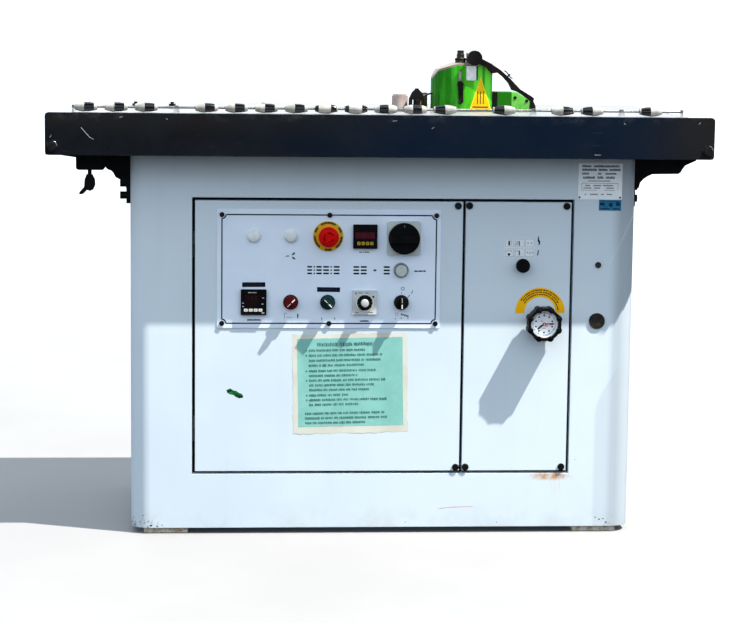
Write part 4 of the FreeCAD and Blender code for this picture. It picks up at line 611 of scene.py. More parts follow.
DIGIT_RED = plain("digit_red", (0.075, 0.006, 0.010), (0.055, 0.004, 0.008), scale=200.0, rough=(0.3, 0.4))
MARK_GREEN = plain("transfer_green", (0.010, 0.19, 0.035), (0.004, 0.05, 0.012), scale=260.0,
                   rough=(0.3, 0.5))
SCRATCH = plain("bare_scratch", (0.42, 0.43, 0.44), (0.26, 0.27, 0.28), scale=300.0, rough=(0.4, 0.6))
SCRATCH_RED = plain("scratch_red", (0.50, 0.20, 0.20), (0.60, 0.38, 0.38), scale=200.0, rough=(0.4, 0.6))
CHROME = turned_metal("bright_washer", (0.72, 0.72, 0.73), (0.45, 0.45, 0.46), 0.2, (500, 500, 500))
SILVER = plain("silver_print", (0.66, 0.67, 0.68), (0.54, 0.55, 0.56), scale=200.0, rough=(0.3, 0.4),
               metal=0.4)


# ---------------------------------------------------------------- mesh helpers

SEAT = 0.02


def middle_of(label):
    """The middle of a node seen from the front, as x and z in millimetres."""
    low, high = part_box(label)
    return (low.x + high.x) / 2 / MM, (low.z + high.z) / 2 / MM


def face_of(label):
    """The depth of a node's front, in millimetres."""
    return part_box(label)[0].y / MM


def skin(face, thick):
    """The two depths of something that lies on a face; its back is sunk in by SEAT."""
    return face + SEAT, face - thick


def piece(name, shape, material, body, smooth=0.0, stands_for=()):
    """A mesh object that rides on a body; smooth is the sharpest angle, in degrees, that is shaded round."""
    bmesh.ops.recalc_face_normals(shape, faces=shape.faces)
    mesh = bpy.data.meshes.new(name)
    shape.to_mesh(mesh)
    shape.free()
    mesh.materials.append(material)
    if smooth:
        mesh.polygons.foreach_set("use_smooth", [True] * len(mesh.polygons))
        mesh.set_sharp_from_angle(angle=math.radians(smooth))
    made = bpy.data.objects.new(name, mesh)
    bpy.context.scene.collection.objects.link(made)
    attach(made, body)
    if stands_for:
        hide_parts(*stands_for)


def plate(shape, outline, back, front):
    """A thin solid from an outline of (x, z) points, in millimetres, between two depths."""
    rear = [shape.verts.new((x * MM, back * MM, z * MM)) for x, z in outline]
    face = [shape.verts.new((x * MM, front * MM, z * MM)) for x, z in outline]
    shape.faces.new(face)
    shape.faces.new(rear[::-1])
    for i in range(len(outline)):
        j = (i + 1) % len(outline)
        shape.faces.new((face[i], face[j], rear[j], rear[i]))


def turned(outline, x, z, turn):
    """An outline turned by degrees about its origin, then moved to (x, z)."""
    c, s = math.cos(math.radians(turn)), math.sin(math.radians(turn))
    return [(x + a * c - b * s, z + a * s + b * c) for a, b in outline]


def bar(shape, x, z, width, height, back, front, turn=0.0):
    """A rectangle about its middle, turned by degrees."""
    w, h = width / 2, height / 2
    plate(shape, turned([(-w, -h), (w, -h), (w, h), (-w, h)], x, z, turn), back, front)


def bars(shape, back, front, rows, x=0.0, z=0.0):
    """Bars from rows of (across, up, width, height) and a turn, where there is one, measured from (x, z)."""
    for across, up, width, height, *turn in rows:
        bar(shape, x + across, z + up, width, height, back, front, *turn)


def round_box(x, z, width, height, radius, steps=5):
    """The outline of a rectangle with round corners."""
    points = []
    for cx, cz, start in ((x + width / 2 - radius, z - height / 2 + radius, -90),
                          (x + width / 2 - radius, z + height / 2 - radius, 0),
                          (x - width / 2 + radius, z + height / 2 - radius, 90),
                          (x - width / 2 + radius, z - height / 2 + radius, 180)):
        for i in range(steps + 1):
            angle = math.radians(start + 90 * i / steps)
            points.append((cx + radius * math.cos(angle), cz + radius * math.sin(angle)))
    return points


def spoke(x, z, reach, turn):
    """The point at a reach from (x, z), in degrees from three o'clock."""
    return x + reach * math.cos(math.radians(turn)), z + reach * math.sin(math.radians(turn))


def sector(shape, x, z, inner, outer, start, end, back, front, steps=24):
    """Part of a flat ring between two angles, in degrees from three o'clock; a whole ring is closed."""
    closed = abs(end - start) >= 359.9
    count = steps if closed else steps + 1
    rows = []
    for i in range(count):
        angle = math.radians(start + (end - start) * i / steps)
        c, s = math.cos(angle), math.sin(angle)
        rows.append([shape.verts.new(((x + r * c) * MM, y * MM, (z + r * s) * MM))
                     for r, y in ((inner, back), (inner, front), (outer, front), (outer, back))])
    for i in range(steps):
        a, b = rows[i], rows[(i + 1) % count]
        for k in range(4):
            shape.faces.new((a[k], a[(k + 1) % 4], b[(k + 1) % 4], b[k]))
    if not closed:
        shape.faces.new(rows[0])
        shape.faces.new(rows[-1][::-1])


def disc(shape, x, z, radius, back, front, steps=24):
    plate(shape, [(x + radius * math.cos(math.tau * i / steps), z + radius * math.sin(math.tau * i / steps))
                  for i in range(steps)], back, front)


def lathe(shape, profile, centre, direction="-y", count=40, wave=None):
    """Turns (radius, along) points about an axis through centre; wave scales a radius by angle and place."""
    frames = {"-y": (Vector((1, 0, 0)), Vector((0, 0, 1)), Vector((0, -1, 0))),
              "x": (Vector((0, 1, 0)), Vector((0, 0, 1)), Vector((1, 0, 0))),
              "z": (Vector((1, 0, 0)), Vector((0, 1, 0)), Vector((0, 0, 1)))}
    u, v, w = frames[direction]
    middle = Vector(centre)
    rows = []
    for radius, along in profile:
        ring = []
        for i in range(count):
            angle = math.tau * i / count
            r = radius * (wave(angle, along) if wave else 1.0)
            out = u * r * math.cos(angle) + v * r * math.sin(angle) + w * along
            ring.append(shape.verts.new((middle + out) * MM))
        rows.append(ring)
    for a, b in zip(rows, rows[1:]):
        for i in range(count):
            j = (i + 1) % count
            shape.faces.new((a[i], a[j], b[j], b[i]))
    shape.faces.new(rows[0][::-1])
    shape.faces.new(rows[-1])


def words(shape, left, z, lengths, height, back, front, chance, gap=1.6):
    """A line of print as dashes of the given lengths, each cut into short strokes."""
    x = left
    for length in lengths:
        end = x + length
        while x < end - 0.3:
            stroke = min(end - x, chance.uniform(1.1, 2.6))
            rise = chance.uniform(0.72, 1.0) * height
            bar(shape, x + stroke / 2, z - (height - rise) / 2, stroke * 0.86, rise, back, front)
            x += stroke
        x = end + gap


# ---------------------------------------------------------------- door and control plate

PLATE = face_of("control_plate")
BASE, DOOR = "machine_frame", "electrical_door"
COLUMN = [-248.6 + 73.6 * i for i in range(5)]
LOWER = 470.5
chance = random.Random(7)


def hinge_gap():
    """Dark sleeves round the door's two hinge knuckles in its left gap: painted shade, so the knuckles read
    as dark as the gap's shade.
    """
    radius, length, past = 2.46, 25.0, 0.05
    axis_x, axis_y = -367.5, face_of("door_panel") + 2.0
    shape = bmesh.new()
    for foot in (215.0, 585.0):
        lathe(shape, [(radius, -past), (radius, length + past)], (axis_x, axis_y, foot), "z", 28)
    # painted shade: dark sleeves that hide the lit knuckles in the gap
    piece("hinge_knuckle_painted_shade", shape, MATERIALS["hinge_steel"], DOOR, 40)


hinge_gap()


def border_line():
    left, right, low, high, notch, wide = -311.6, 114.2, 427.7, 644.4, 8.0, 2.6
    shape = bmesh.new()
    back, front = skin(PLATE, 0.10)
    for z in (low, high):
        bar(shape, (left + right) / 2, z, right - left - 2 * notch, wide, back, front)
    for x in (left, right):
        bar(shape, x, (low + high) / 2, wide, high - low - 2 * notch, back, front)
    for x, z, start in ((left, low, 0), (right, low, 90), (right, high, 180), (left, high, 270)):
        sector(shape, x, z, notch - wide / 2, notch + wide / 2, start, start + 90, back, front, 10)
    piece("plate_border_line", shape, PRINT_DARK, DOOR)


def plate_print():
    """Generic strokes where the plate has its lettering, and the small pictograms."""
    back, front = skin(PLATE, 0.09)
    dark, grey, black = bmesh.new(), bmesh.new(), bmesh.new()

    cells = ((-142.6, 10), (-130, 3), (-124.5, 11), (-111, 12), (-96.5, 3), (-90, 12), (-50.8, 12),
             (-36.2, 12.4), (-10.6, 6), (9.6, 12.6))
    for left, length in cells:
        for z in (528.0, 534.6, 541.2) if length > 6 else (534.6,):
            plate(dark, round_box(left + length / 2, z, length, 3.4, 1.6), back, front)
        if length < 6:
            for z in (528.0, 541.2):
                plate(dark, round_box(left + length / 2, z, length, 3.4, 1.4), back, front)

    leaf = [(2.0, 0.0), (4.2, 1.5), (8.6, 2.3), (11.0, 1.2), (9.4, -0.9), (5.4, -1.5)]
    for turn, shape in ((38, dark), (-42, dark), (180, grey)):
        plate(shape, turned(leaf, COLUMN[1], 562.6, turn), back, front)

    words(dark, COLUMN[3] - 12, 571.0, (6, 3, 9), 2.4, back, front, chance, 1.4)
    words(black, 71, 533.5, (7, 9, 5), 3.6, back, front, chance, 1.0)
    words(black, COLUMN[0] - 13, 434.6, (27,), 3.4, back, front, chance)
    words(black, COLUMN[3] - 9, 432.8, (18,), 3.2, back, front, chance)

    bars(grey, back, front, ((-187, 444, 1.0, 9), (-184.5, 448, 5, 1.0), (-179, 440, 9, 1.1),
                             (-186.8, 438, 1.8, 1.8), (-172, 440.2, 2.0, 1.0)))
    bars(dark, back, front, ((-160.7, 443.6, 2.6, 6.6), (-160.7, 438.4, 1.4, 2.4)))
    bars(black, back, front, ((-113.0, 437.4, 1.6, 3.4), (-87.0, 437.4, 1.6, 3.4), (46.2, 489.0, 0.9, 4.6),
                              (60.6, 482.6, 1.2, 7.2, -38), (34.0, 437.4, 1.6, 2.6), (46.0, 438.6, 1.2, 3.0),
                              (59.6, 438.6, 1.4, 3.0)))
    sector(black, 48.4, 498.0, 2.6, 3.7, 0, 360, back, front, 20)
    bar(black, 67.4, 491.2, 1.3, 7.0, back, front, -20)
    sector(grey, 37.0, 446.6, 2.4, 3.2, 0, 360, back, front, 16)
    for i in range(5):
        bar(dark, 46.5 + 3.2 * i, 446.4 - 0.9 * i, 2.3, 3.6, back, front, -14)
    piece("plate_print_green", dark, PRINT_DARK, DOOR)
    piece("plate_print_grey", grey, PRINT_GREY, DOOR)
    piece("plate_print_black", black, PRINT_BLACK, DOOR)


def embossed_tapes():
    """Two dark self-adhesive strips with raised generic strokes."""
    shape, marks = bmesh.new(), bmesh.new()
    for x, z, turn in ((-248.4, 505.2, 0.4), (-99.8, 495.8, -0.6)):
        bar(shape, x, z, 45.5, 9.2, *skin(PLATE, 0.45), turn)
        for i in range(9):
            if chance.random() < 0.8:
                bar(marks, x - 17 + 4.1 * i, z, 2.2, 4.2, PLATE - 0.40, PLATE - 0.55, turn)
    piece("embossed_tape_strips", shape, TAPE_DARK, DOOR)
    piece("embossed_tape_marks", marks,
          ink_finish("tape_relief", (0.014, 0.020, 0.044), (0.008, 0.012, 0.028)), DOOR)


def seven_segments(shape, x, z, size, digit, back, front):
    """One generic digit of a segment display."""
    lit = {"0": "abcdef", "8": "abcdefg", "1": "bc"}[digit]
    half, wide = size / 2, size * 0.13
    spots = {"a": (0, half, 1), "g": (0, 0, 1), "d": (0, -half, 1), "f": (-half / 2, half / 2, 0),
             "b": (half / 2, half / 2, 0), "e": (-half / 2, -half / 2, 0), "c": (half / 2, -half / 2, 0)}
    for letter in lit:
        dx, dz, flat = spots[letter]
        w, h = (half * 0.8, wide) if flat else (wide, half * 0.8)
        bar(shape, x + dx + dz * 0.12, z + dz, w, h, back, front)


def meters():
    """The counter and the temperature controller: surrounds, windows, digits and keys."""
    face = face_of("counter_display")
    x, z = middle_of("counter_display")
    surrounds, window, digits, keys, marks = (bmesh.new() for _ in range(5))

    def surround(cx, cz, side):
        outer, inner = side - 0.6, side - 5.2
        reach, rim = (outer + inner) / 4, (outer - inner) / 2
        for a, b, w, h in ((0, reach, outer, rim), (0, -reach, outer, rim), (reach, 0, rim, inner),
                           (-reach, 0, rim, inner)):
            bar(surrounds, cx + a, cz + b, w, h, face, face - 0.5)

    surround(x, z, 48)
    bar(window, x - 0.5, z + 2.4, 38.5, 12.6, *skin(face, 0.25))
    for i, digit in enumerate("0000"):
        seven_segments(digits, x - 13 + 8.6 * i, z + 2.2, 7.4, digit, face - 0.22, face - 0.32)
    for i in range(4):
        plate(keys, round_box(x - 12.9 + 8.6 * i, z - 13.4, 6.6, 6.6, 1.2), *skin(face, 0.9))
        bar(marks, x - 12.9 + 8.6 * i, z - 13.4, 2.8, 1.0, face - 0.88, face - 0.96)
    disc(digits, x - 16.5, z + 14.8, 0.9, *skin(face, 0.3), 12)

    cx, cz = middle_of("temperature_controller")
    surround(cx, cz, 51)
    maroon, pale = bmesh.new(), bmesh.new()
    bar(maroon, cx - 3.5, cz + 4.6, 30, 20, *skin(face, 0.25))
    for i, digit in enumerate("180"):
        seven_segments(digits, cx - 11 + 7.6 * i, cz + 8.6, 5.6, digit, face - 0.22, face - 0.32)
    words(pale, cx - 11, cz + 19.6, (17,), 2.0, *skin(face, 0.12), chance)
    for a, b, w in ((-21.4, -1.6, 4.6), (-21.4, -8.2, 4.6), (18.6, 8.8, 3.6), (17.6, -3.4, 4.0),
                    (18.6, -21.2, 5.0)):
        bar(pale, cx + a, cz + b, w, 1.5, *skin(face, 0.12))
    for i in range(4):
        plate(pale, round_box(cx - 15.4 + 9.7 * i, cz - 15.6, 7.6, 5.6, 1.0), *skin(face, 0.8))
        bar(marks, cx - 15.4 + 9.7 * i, cz - 15.6, 3.0, 1.0, face - 0.78, face - 0.86)
    piece("meter_surrounds", surrounds, MATERIALS["device_black"], DOOR)
    piece("counter_window", window, DISPLAY_RED, DOOR)
    piece("controller_window", maroon, DISPLAY_MAROON, DOOR)
    piece("display_digits", digits, DIGIT_RED, DOOR)
    piece("counter_keys", keys, KEY_YELLOW, DOOR)
    piece("controller_keys", pale, KEY_WHITE, DOOR)
    piece("key_marks", marks, PRINT_BLACK, DOOR)


def stop_marks():
    """Dark generic strokes round the emergency stop's disc, and turn arrows on its head."""
    x, z = middle_of("emergency_stop_base")
    disc_thick = 2.0
    disc_face = PLATE - disc_thick
    shape = bmesh.new()
    for middle, strokes in ((90, 11), (-28, 9), (206, 9), (-90, 5), (28, 4), (152, 4)):
        for i in range(strokes):
            angle = middle + (i - (strokes - 1) / 2) * 6.0
            sector(shape, x, z, 24.6, 28.9, angle - 2.5, angle + 2.4, *skin(disc_face, 0.1), 2)
    piece("stop_disc_strokes", shape, PRINT_BLACK, DOOR)

    head = face_of("emergency_stop_head")
    arrows = bmesh.new()
    for start in (20, 140, 260):
        sector(arrows, x, z, 8.4, 9.8, start, start + 62, head + 0.3, head, 12)
        bar(arrows, *spoke(x, z, 9.1, start + 68), 3.4, 2.6, head + 0.3, head, start + 158)
    piece("stop_head_arrows", arrows,
          ink_finish("arrow_dark_red", (0.42, 0.0026, 0.0028), (0.34, 0.002, 0.0024), specular=0.07),
          "emergency_stop")


def switch_details():
    """A ridge and a small index mark on the main switch's knob."""
    x, z = middle_of("main_switch_knob")
    shape = bmesh.new()
    base, knob_long = 7.4, 12
    rim = PLATE - base - knob_long
    sector(shape, x, z, 27.6, 30.4, 0, 360, rim + 0.05, rim - 0.9, 64)
    piece("switch_knob_ridge", shape, MATERIALS["knob_black"], "main_switch_knob", 30)
    mark = bmesh.new()
    bar(mark, x, z + 24.5, 1.4, 5.0, rim + 0.05, rim - 0.2)
    piece("switch_knob_mark", mark, MATERIALS["bearing_steel"], "main_switch_knob")


def selector_marks():
    """Pointer lines on the selector grips and the rings of their bezels."""
    front, black_x = face_of("selector_red"), middle_of("selector_black")[0]
    for label, x, angle in (("selector_red", COLUMN[1], 45), ("selector_green", COLUMN[2], -45),
                            ("selector_black", black_x, -90)):
        shape = bmesh.new()
        bar(shape, *spoke(x, LOWER, 6.4, angle), 8.4, 2.2, front + 0.05, front - 0.25, angle)
        bar(shape, *spoke(x, LOWER, -5.6, angle), 9.0, 0.8, front + 0.05, front - 0.18, angle)
        piece(label + "_pointer", shape, WHITE_MARK, label)
    rings = bmesh.new()
    for x in (COLUMN[1], COLUMN[2], black_x):
        sector(rings, x, LOWER, 13.0, 15.0, 0, 360, PLATE - 3.0, PLATE - 3.5, 48)
    sector(rings, *middle_of("push_button"), 12.6, 14.6, 0, 360, PLATE - 3.0, PLATE - 4.6, 48)
    piece("operator_rings", rings, MATERIALS["bezel_metal"], DOOR, 40)


def timer_details():
    """The timer's scale ring, its marks and the knob's cap."""
    x, z = middle_of("timer_knob")
    bezel, ring_long = 7.0, 3.0
    face, ring_face = PLATE - bezel, PLATE - bezel - ring_long
    black, white, ticks = bmesh.new(), bmesh.new(), bmesh.new()
    sector(black, x, z, 7.9, 15.9, 0, 360, ring_face + 0.05, ring_face - 0.35, 64)
    sector(white, x, z, 15.9, 17.0, 0, 360, ring_face + 0.05, ring_face - 0.25, 64)
    for i in range(11):
        angle = 225 - 27 * i
        sector(ticks, x, z, 13.6, 15.2, angle - 1.0, angle + 1.0, ring_face - 0.33, ring_face - 0.42, 2)
    marks = bmesh.new()
    bars(marks, face + 0.05, face - 0.08,
         ((-17.5, 18.4, 2.0, 4.2), (-8.0, 19.4, 8.0, 1.2), (4.0, 19.4, 6.5, 1.2), (17.2, 11.8, 3.6, 3.6),
          (-15.0, -19.6, 6.0, 1.2), (12.0, -19.6, 9.0, 1.2)), x, z)
    piece("timer_scale", black, MATERIALS["device_black"], DOOR)
    piece("timer_rim", white, WHITE_MARK, DOOR)
    piece("timer_ticks", ticks, SILVER, DOOR)
    piece("timer_marks", marks, PRINT_BLACK, DOOR)
    cap = bmesh.new()
    knob_face = face_of("timer_knob")
    lathe(cap, [(6.4, -0.02), (6.4, 0.35), (5.0, 0.6), (0.4, 0.62)], (x, knob_face, z), "-y", 32)
    bar(cap, x + 1.6, z + 1.6, 7.0, 1.1, knob_face, knob_face - 0.75, 45)
    piece("timer_knob_cap", cap, SILVER, "timer_knob", 35)


border_line()
plate_print()
embossed_tapes()
meters()
stop_marks()
switch_details()
selector_marks()
timer_details()


# ---------------------------------------------------------------- notice, nameplate and labels

PANEL, SHELL = face_of("service_panel"), face_of("cabinet_shell")
SHEET = 0.4


def notice():
    """A laminated paper notice, taped round its edges; its writing is generic strokes."""
    middle, tilt = (-54.2, 309.0), 1.2
    width, height = 211.0, 179.0

    def put(a, b):
        return turned([(a, b)], *middle, tilt)[0]

    def sheet(shape, left, right, low, high, y, seed, ragged=0.0, wave=0.25):
        steps_x, steps_z = 36, 32
        rng = random.Random(seed)
        sides = [[rng.uniform(-ragged, ragged) for _ in range(steps_z + 1)] for _ in range(2)]
        ends = [[rng.uniform(-ragged, ragged) for _ in range(steps_x + 1)] for _ in range(2)]
        grid = []
        for i in range(steps_x + 1):
            column = []
            for k in range(steps_z + 1):
                a, b = left + (right - left) * i / steps_x, low + (high - low) * k / steps_z
                if i in (0, steps_x):
                    a += sides[i > 0][k]
                if k in (0, steps_z):
                    b += ends[k > 0][i]
                swell = math.sin(a * 0.045 + 1.3 * math.sin(b * 0.031))
                lift = wave * (0.5 + 0.5 * swell * math.sin(b * 0.052 + 0.6))
                x, z = put(a, b)
                column.append(shape.verts.new((x * MM, (y - lift) * MM, z * MM)))
            grid.append(column)
        for i in range(steps_x):
            for k in range(steps_z):
                shape.faces.new((grid[i][k], grid[i + 1][k], grid[i + 1][k + 1], grid[i][k + 1]))

    door = face_of("door_panel") + SHEET
    tape = bmesh.new()
    sheet(tape, -115.5, 114.5, -103.5, 98.0, door - 0.10, 3, 1.5)
    piece("notice_tape_border", tape, NOTICE_TAPE, DOOR, 60)
    paper = bmesh.new()
    sheet(paper, -width / 2, width / 2, -height / 2, height / 2, door - 0.22, 4, 0.4)
    piece("notice_paper", paper, NOTICE_PAPER, DOOR, 60)

    rng = random.Random(11)
    text = bmesh.new()
    back, front = door - 0.30, door - 0.62

    def line(left, level, lengths, high, bold=1.0):
        x = left
        for length in lengths:
            end = x + length
            while x < end - 0.8:
                stroke = min(end - x, rng.uniform(1.5, 3.6) * bold)
                tall = high * rng.uniform(0.72, 1.0)
                spot = put(x + stroke / 2, level + (high - tall) * rng.uniform(-0.5, 0.5))
                bar(text, *spot, stroke * 0.56, tall, back, front, tilt)
                x += stroke
            x = end + 2.1 * bold

    line(-66, 77.0, (42, 26, 38), 7.6, 1.3)
    # each row: its height, the lengths of its words, and 1 for a dot before it or 2 for a wide row
    rows = [(68.5, (12, 27, 12, 10, 12, 21), 1), (58.0, (14, 9, 14, 10, 8, 22, 15, 22, 5), 1),
            (47.5, (12, 34, 12, 30, 6, 28), 0), (37.0, (17, 4, 8, 10, 20, 32), 0),
            (25.5, (15, 14, 10, 8, 34, 14, 16), 1), (15.5, (26, 20, 8, 24, 3), 0),
            (5.5, (14, 8, 12, 20, 8, 10, 24, 20, 8), 1), (-4.5, (9, 14, 22, 14, 10, 24, 14), 0),
            (-14.5, (24, 8, 16, 12, 8, 10, 20), 0), (-25.5, (13, 17, 8, 14, 12), 1),
            (-35.5, (21, 25, 10, 10, 16, 18, 14, 14), 1), (-45.5, (8, 12, 18, 8, 10, 24), 0),
            (-64.0, (12, 20, 8, 12, 8, 10, 16, 20, 16, 6), 2), (-74.0, (27, 6, 14, 8, 26, 22, 22, 12), 2),
            (-84.0, (12, 8, 25, 10, 10, 10, 24), 2)]
    for level, lengths, kind in rows:
        total = sum(lengths) + 2.1 * len(lengths)
        left, room = (-92.0, 158.0) if kind == 2 else (-83.0, 150.0)
        scale = 1.1 * min(1.0, room / total)
        level = 0.9635 * level - 0.56
        line(left, level, [v * scale for v in lengths], 5.0)
        if kind == 1:
            disc(text, *put(-87.5, level), 1.5, back, front, 10)
    piece("notice_strokes", text,
          ink_finish("notice_ink", (0.045, 0.165, 0.142), (0.028, 0.115, 0.100), 160.0), DOOR)


def green_transfer():
    """The small irregular green mark left of the notice."""
    shape, dark = bmesh.new(), bmesh.new()
    door = face_of("door_panel") + SHEET
    outline = [(-17, 6), (-9, 9), (-3, 5), (3, 4), (8, 0), (14, -2), (17, -8), (9, -11), (2, -8), (-3, -4),
               (-9, -3), (-15, 0)]
    plate(shape, [(-285 + x, 287 + z) for x, z in outline], *skin(door, 0.10))
    bars(dark, door - 0.08, door - 0.16,
         ((-11, 4, 9, 4, 20), (6, -6, 12, 3, -25), (13, -8, 5, 4), (-2, 1, 6, 1.6, 40)), -285, 287)
    piece("green_transfer", shape, MARK_GREEN, DOOR)
    piece("green_transfer_shade", dark, PRINT_BLACK, DOOR)


def nameplate():
    """A riveted aluminium plate with generic rows, and the blue sticker below it."""
    left, right, low, high = 397.0, 485.5, 678.5, 750.5
    metal, marks, rivets = bmesh.new(), bmesh.new(), bmesh.new()
    plate(metal, round_box((left + right) / 2, (low + high) / 2, right - left, high - low, 1.5),
          *skin(SHELL, 0.7))
    rng = random.Random(5)
    back, front = SHELL - 0.66, SHELL - 0.78

    def row(z, parts, tall):
        for start, length in parts:
            words(marks, left + start, z, (length,), tall, back, front, rng)

    row(745.0, ((7, 18), (30, 52)), 4.6)
    row(738.0, ((7, 30), (40, 18), (62, 22)), 4.8)
    row(730.2, ((7, 14), (39, 7), (54, 22)), 4.0)
    row(722.6, ((9, 24), (38, 12), (55, 18)), 5.2)
    row(715.6, ((20, 44),), 2.0)
    for z, x0, x1 in ((711.0, 7, 80), (697.0, 7, 38), (697.0, 52, 74)):
        bar(marks, left + (x0 + x1) / 2, z, x1 - x0, 0.7, back, front)
    for x in (7, 80):
        bar(marks, left + x, 704, 0.6, 14, back, front)
    row(706.5, ((14, 10), (30, 16), (50, 20)), 2.6)
    row(701.5, ((10, 16), (32, 12), (56, 16)), 2.4)
    row(689.0, ((13, 3), (24, 16), (46, 6), (58, 10)), 2.6)
    piece("nameplate", metal, PLATE_METAL, BASE, 30)
    piece("nameplate_rows", marks, ink_finish("nameplate_ink", (0.16, 0.19, 0.22), (0.11, 0.13, 0.16)), BASE)
    for x in (left + 3, right - 4):
        lathe(rivets, [(2.0, -0.1), (1.9, 0.7), (1.3, 1.3), (0.3, 1.5)], (x, SHELL - 0.6, low + 4), "-y", 16)
    piece("nameplate_rivets", rivets, MATERIALS["screw_steel"], BASE, 60)

    sticker, ink = bmesh.new(), bmesh.new()
    bar(sticker, 462.0, 667.0, 45.0, 21.5, *skin(SHELL, 0.25), -0.6)
    for x, z, w, h in ((446, 669.5, 10, 6), (478, 669.5, 8, 7), (452, 660.0, 18, 2.2), (474, 660.0, 14, 2.0),
                       (462, 675.4, 38, 1.2)):
        bar(ink, x, z, w, h, SHELL - 0.22, SHELL - 0.32, -0.6)
    disc(ink, 463.5, 668.0, 4.2, SHELL - 0.22, SHELL - 0.34, 18)
    piece("blue_sticker", sticker, LABEL_BLUE, BASE)
    piece("blue_sticker_print", ink, ink_finish("sticker_ink", (0.004, 0.03, 0.09), (0.003, 0.02, 0.06)),
          BASE)


def panel_labels():
    """The arc label round the handwheel and the small pictogram label above the push-pull knob."""
    arc, ink = bmesh.new(), bmesh.new()
    cx, cz = 325.5, 450.5
    sector(arc, cx, cz, 31.5, 50.0, -1, 182, *skin(PANEL, 0.22), 48)
    rng = random.Random(9)
    for radius, start, end in ((45.6, 148, 34), (41.2, 146, 28), (36.8, 150, 12)):
        angle = start
        while angle > end:
            step = rng.uniform(3.0, 8.0)
            sector(ink, cx, cz, radius - 1.2, radius + 1.2, angle - step, angle, PANEL - 0.20, PANEL - 0.30,
                   3)
            angle -= step + rng.uniform(0.8, 2.0)
    piece("arc_label", arc, LABEL_YELLOW, BASE)
    piece("arc_label_strokes", ink,
          ink_finish("label_ink_brown", (0.060, 0.020, 0.006), (0.035, 0.012, 0.004)), BASE)

    back, front = PANEL - 0.20, PANEL - 0.30
    label, marks, faint = bmesh.new(), bmesh.new(), bmesh.new()
    x, z = 281.5, 580.5
    bar(label, x, z, 61.5, 38.0, *skin(PANEL, 0.22))
    for row in (10.0, -9.6):
        for a, w in ((-20.2, 17.0), (0.4, 18.6), (20.6, 17.6)):
            for b, h in ((7.8, 0.6), (-7.8, 0.6)):
                bar(faint, x + a, z + row + b, w, h, back, front)
            for side in (-w / 2, w / 2):
                bar(faint, x + a + side, z + row, 0.6, 15.6, back, front)
    bars(marks, back, front, ((-21.0, 9.6, 3.6, 9.0), (-0.6, 9.0, 2.0, 9.6), (-0.2, -10.0, 2.4, 9.6)), x, z)
    bars(faint, back, front,
         ((-6.4, 10.0, 1.2, 10.0, -16), (-3.6, 10.0, 1.2, 10.0, -16), (-5.8, -6.2, 8.4, 1.2)), x, z)
    disc(marks, x - 21.0, z - 13.0, 2.7, back, front, 14)
    sector(faint, x - 21.0, z + 10.0, 5.4, 6.2, -60, 70, back, front, 8)
    sector(faint, x - 21.0, z - 11.0, 6.2, 7.2, 20, 160, back, front, 10)
    for a, b in ((17.0, 10.0), (24.0, 10.0), (16.0, -9.0), (21.0, -10.0), (26.0, -9.0)):
        disc(faint, x + a, z + b, 1.5, back, front, 10)
    piece("pictogram_label", label, LABEL_WHITE, BASE)
    piece("pictogram_marks", marks, PRINT_BLACK, BASE)
    piece("pictogram_outlines", faint, PRINT_GREY, BASE)

    ticks = bmesh.new()
    outline = [(318.6, 604), (320.2, 604), (320.6, 597), (323.0, 593.5), (322.6, 589.0), (321.4, 586.6),
               (319.4, 587.4), (319.8, 591.6), (317.6, 594.6)]
    plate(ticks, outline, *skin(PANEL, 0.12))
    bar(ticks, 319.0, 571.0, 2.2, 10.5, *skin(PANEL, 0.12), -10)
    piece("panel_pen_ticks", ticks, PRINT_BLACK, BASE)


def small_marks():
    """The scratch on the fascia, the red scratch low on the cabinet and a few bare chips."""
    fascia = face_of("front_fascia")
    shape = bmesh.new()
    plate(shape, [(-582.4, 817.2), (-581.2, 817.8), (-571, 805.8), (-564.4, 798.8), (-557.6, 795.0),
                  (-558.2, 794.2), (-565.2, 797.9), (-572, 805.2)], *skin(fascia, 0.06))
    bars(shape, *skin(fascia, 0.06),
         ((-640, 800, 5, 0.9, 60), (-505, 838, 7, 0.8, 10), (-418, 835, 4, 0.8, -30), (22, 835, 9, 0.7, 8),
          (96, 822, 6, 0.8, 35), (472, 833, 4, 0.9, -20), (420, 772, 12, 0.8), (620, 835, 5, 0.8, 45)))
    piece("fascia_scratches", shape, SCRATCH, BASE)
    red = bmesh.new()
    plate(red, [(128, 48.5), (142, 50.6), (168, 52.0), (196, 53.0), (197, 54.0), (168, 53.4), (142, 52.0),
                (127, 49.4)], *skin(SHELL, 0.05))
    piece("cabinet_red_scratch", red, SCRATCH_RED, BASE)
    chips = bmesh.new()
    rng = random.Random(21)
    for x, z, size in ((-468, 38, 1.6), (448, 30, 2.0), (456, 26, 2.6), (464, 27, 1.8), (-452, 17, 3.2),
                       (-440, 16, 2.2), (-430, 17.5, 1.4), (470, 20, 3.0), (60, 22, 1.2), (246, 21, 1.4),
                       (-148, 20, 1.0), (404, 150, 1.1)):
        outline = []
        for i in range(7):
            angle = math.tau * i / 7
            across = size * rng.uniform(0.6, 1.2) * math.cos(angle)
            outline.append((x + across, z + size * 0.7 * rng.uniform(0.6, 1.2) * math.sin(angle)))
        plate(chips, outline, *skin(SHELL, 0.05))
    piece("cabinet_chips", chips,
          ink_finish("bare_dark_chip", (0.06, 0.045, 0.035), (0.025, 0.02, 0.018), 300.0), BASE)


notice()
green_transfer()
nameplate()
panel_labels()
small_marks()


# ---------------------------------------------------------------- handwheel dial

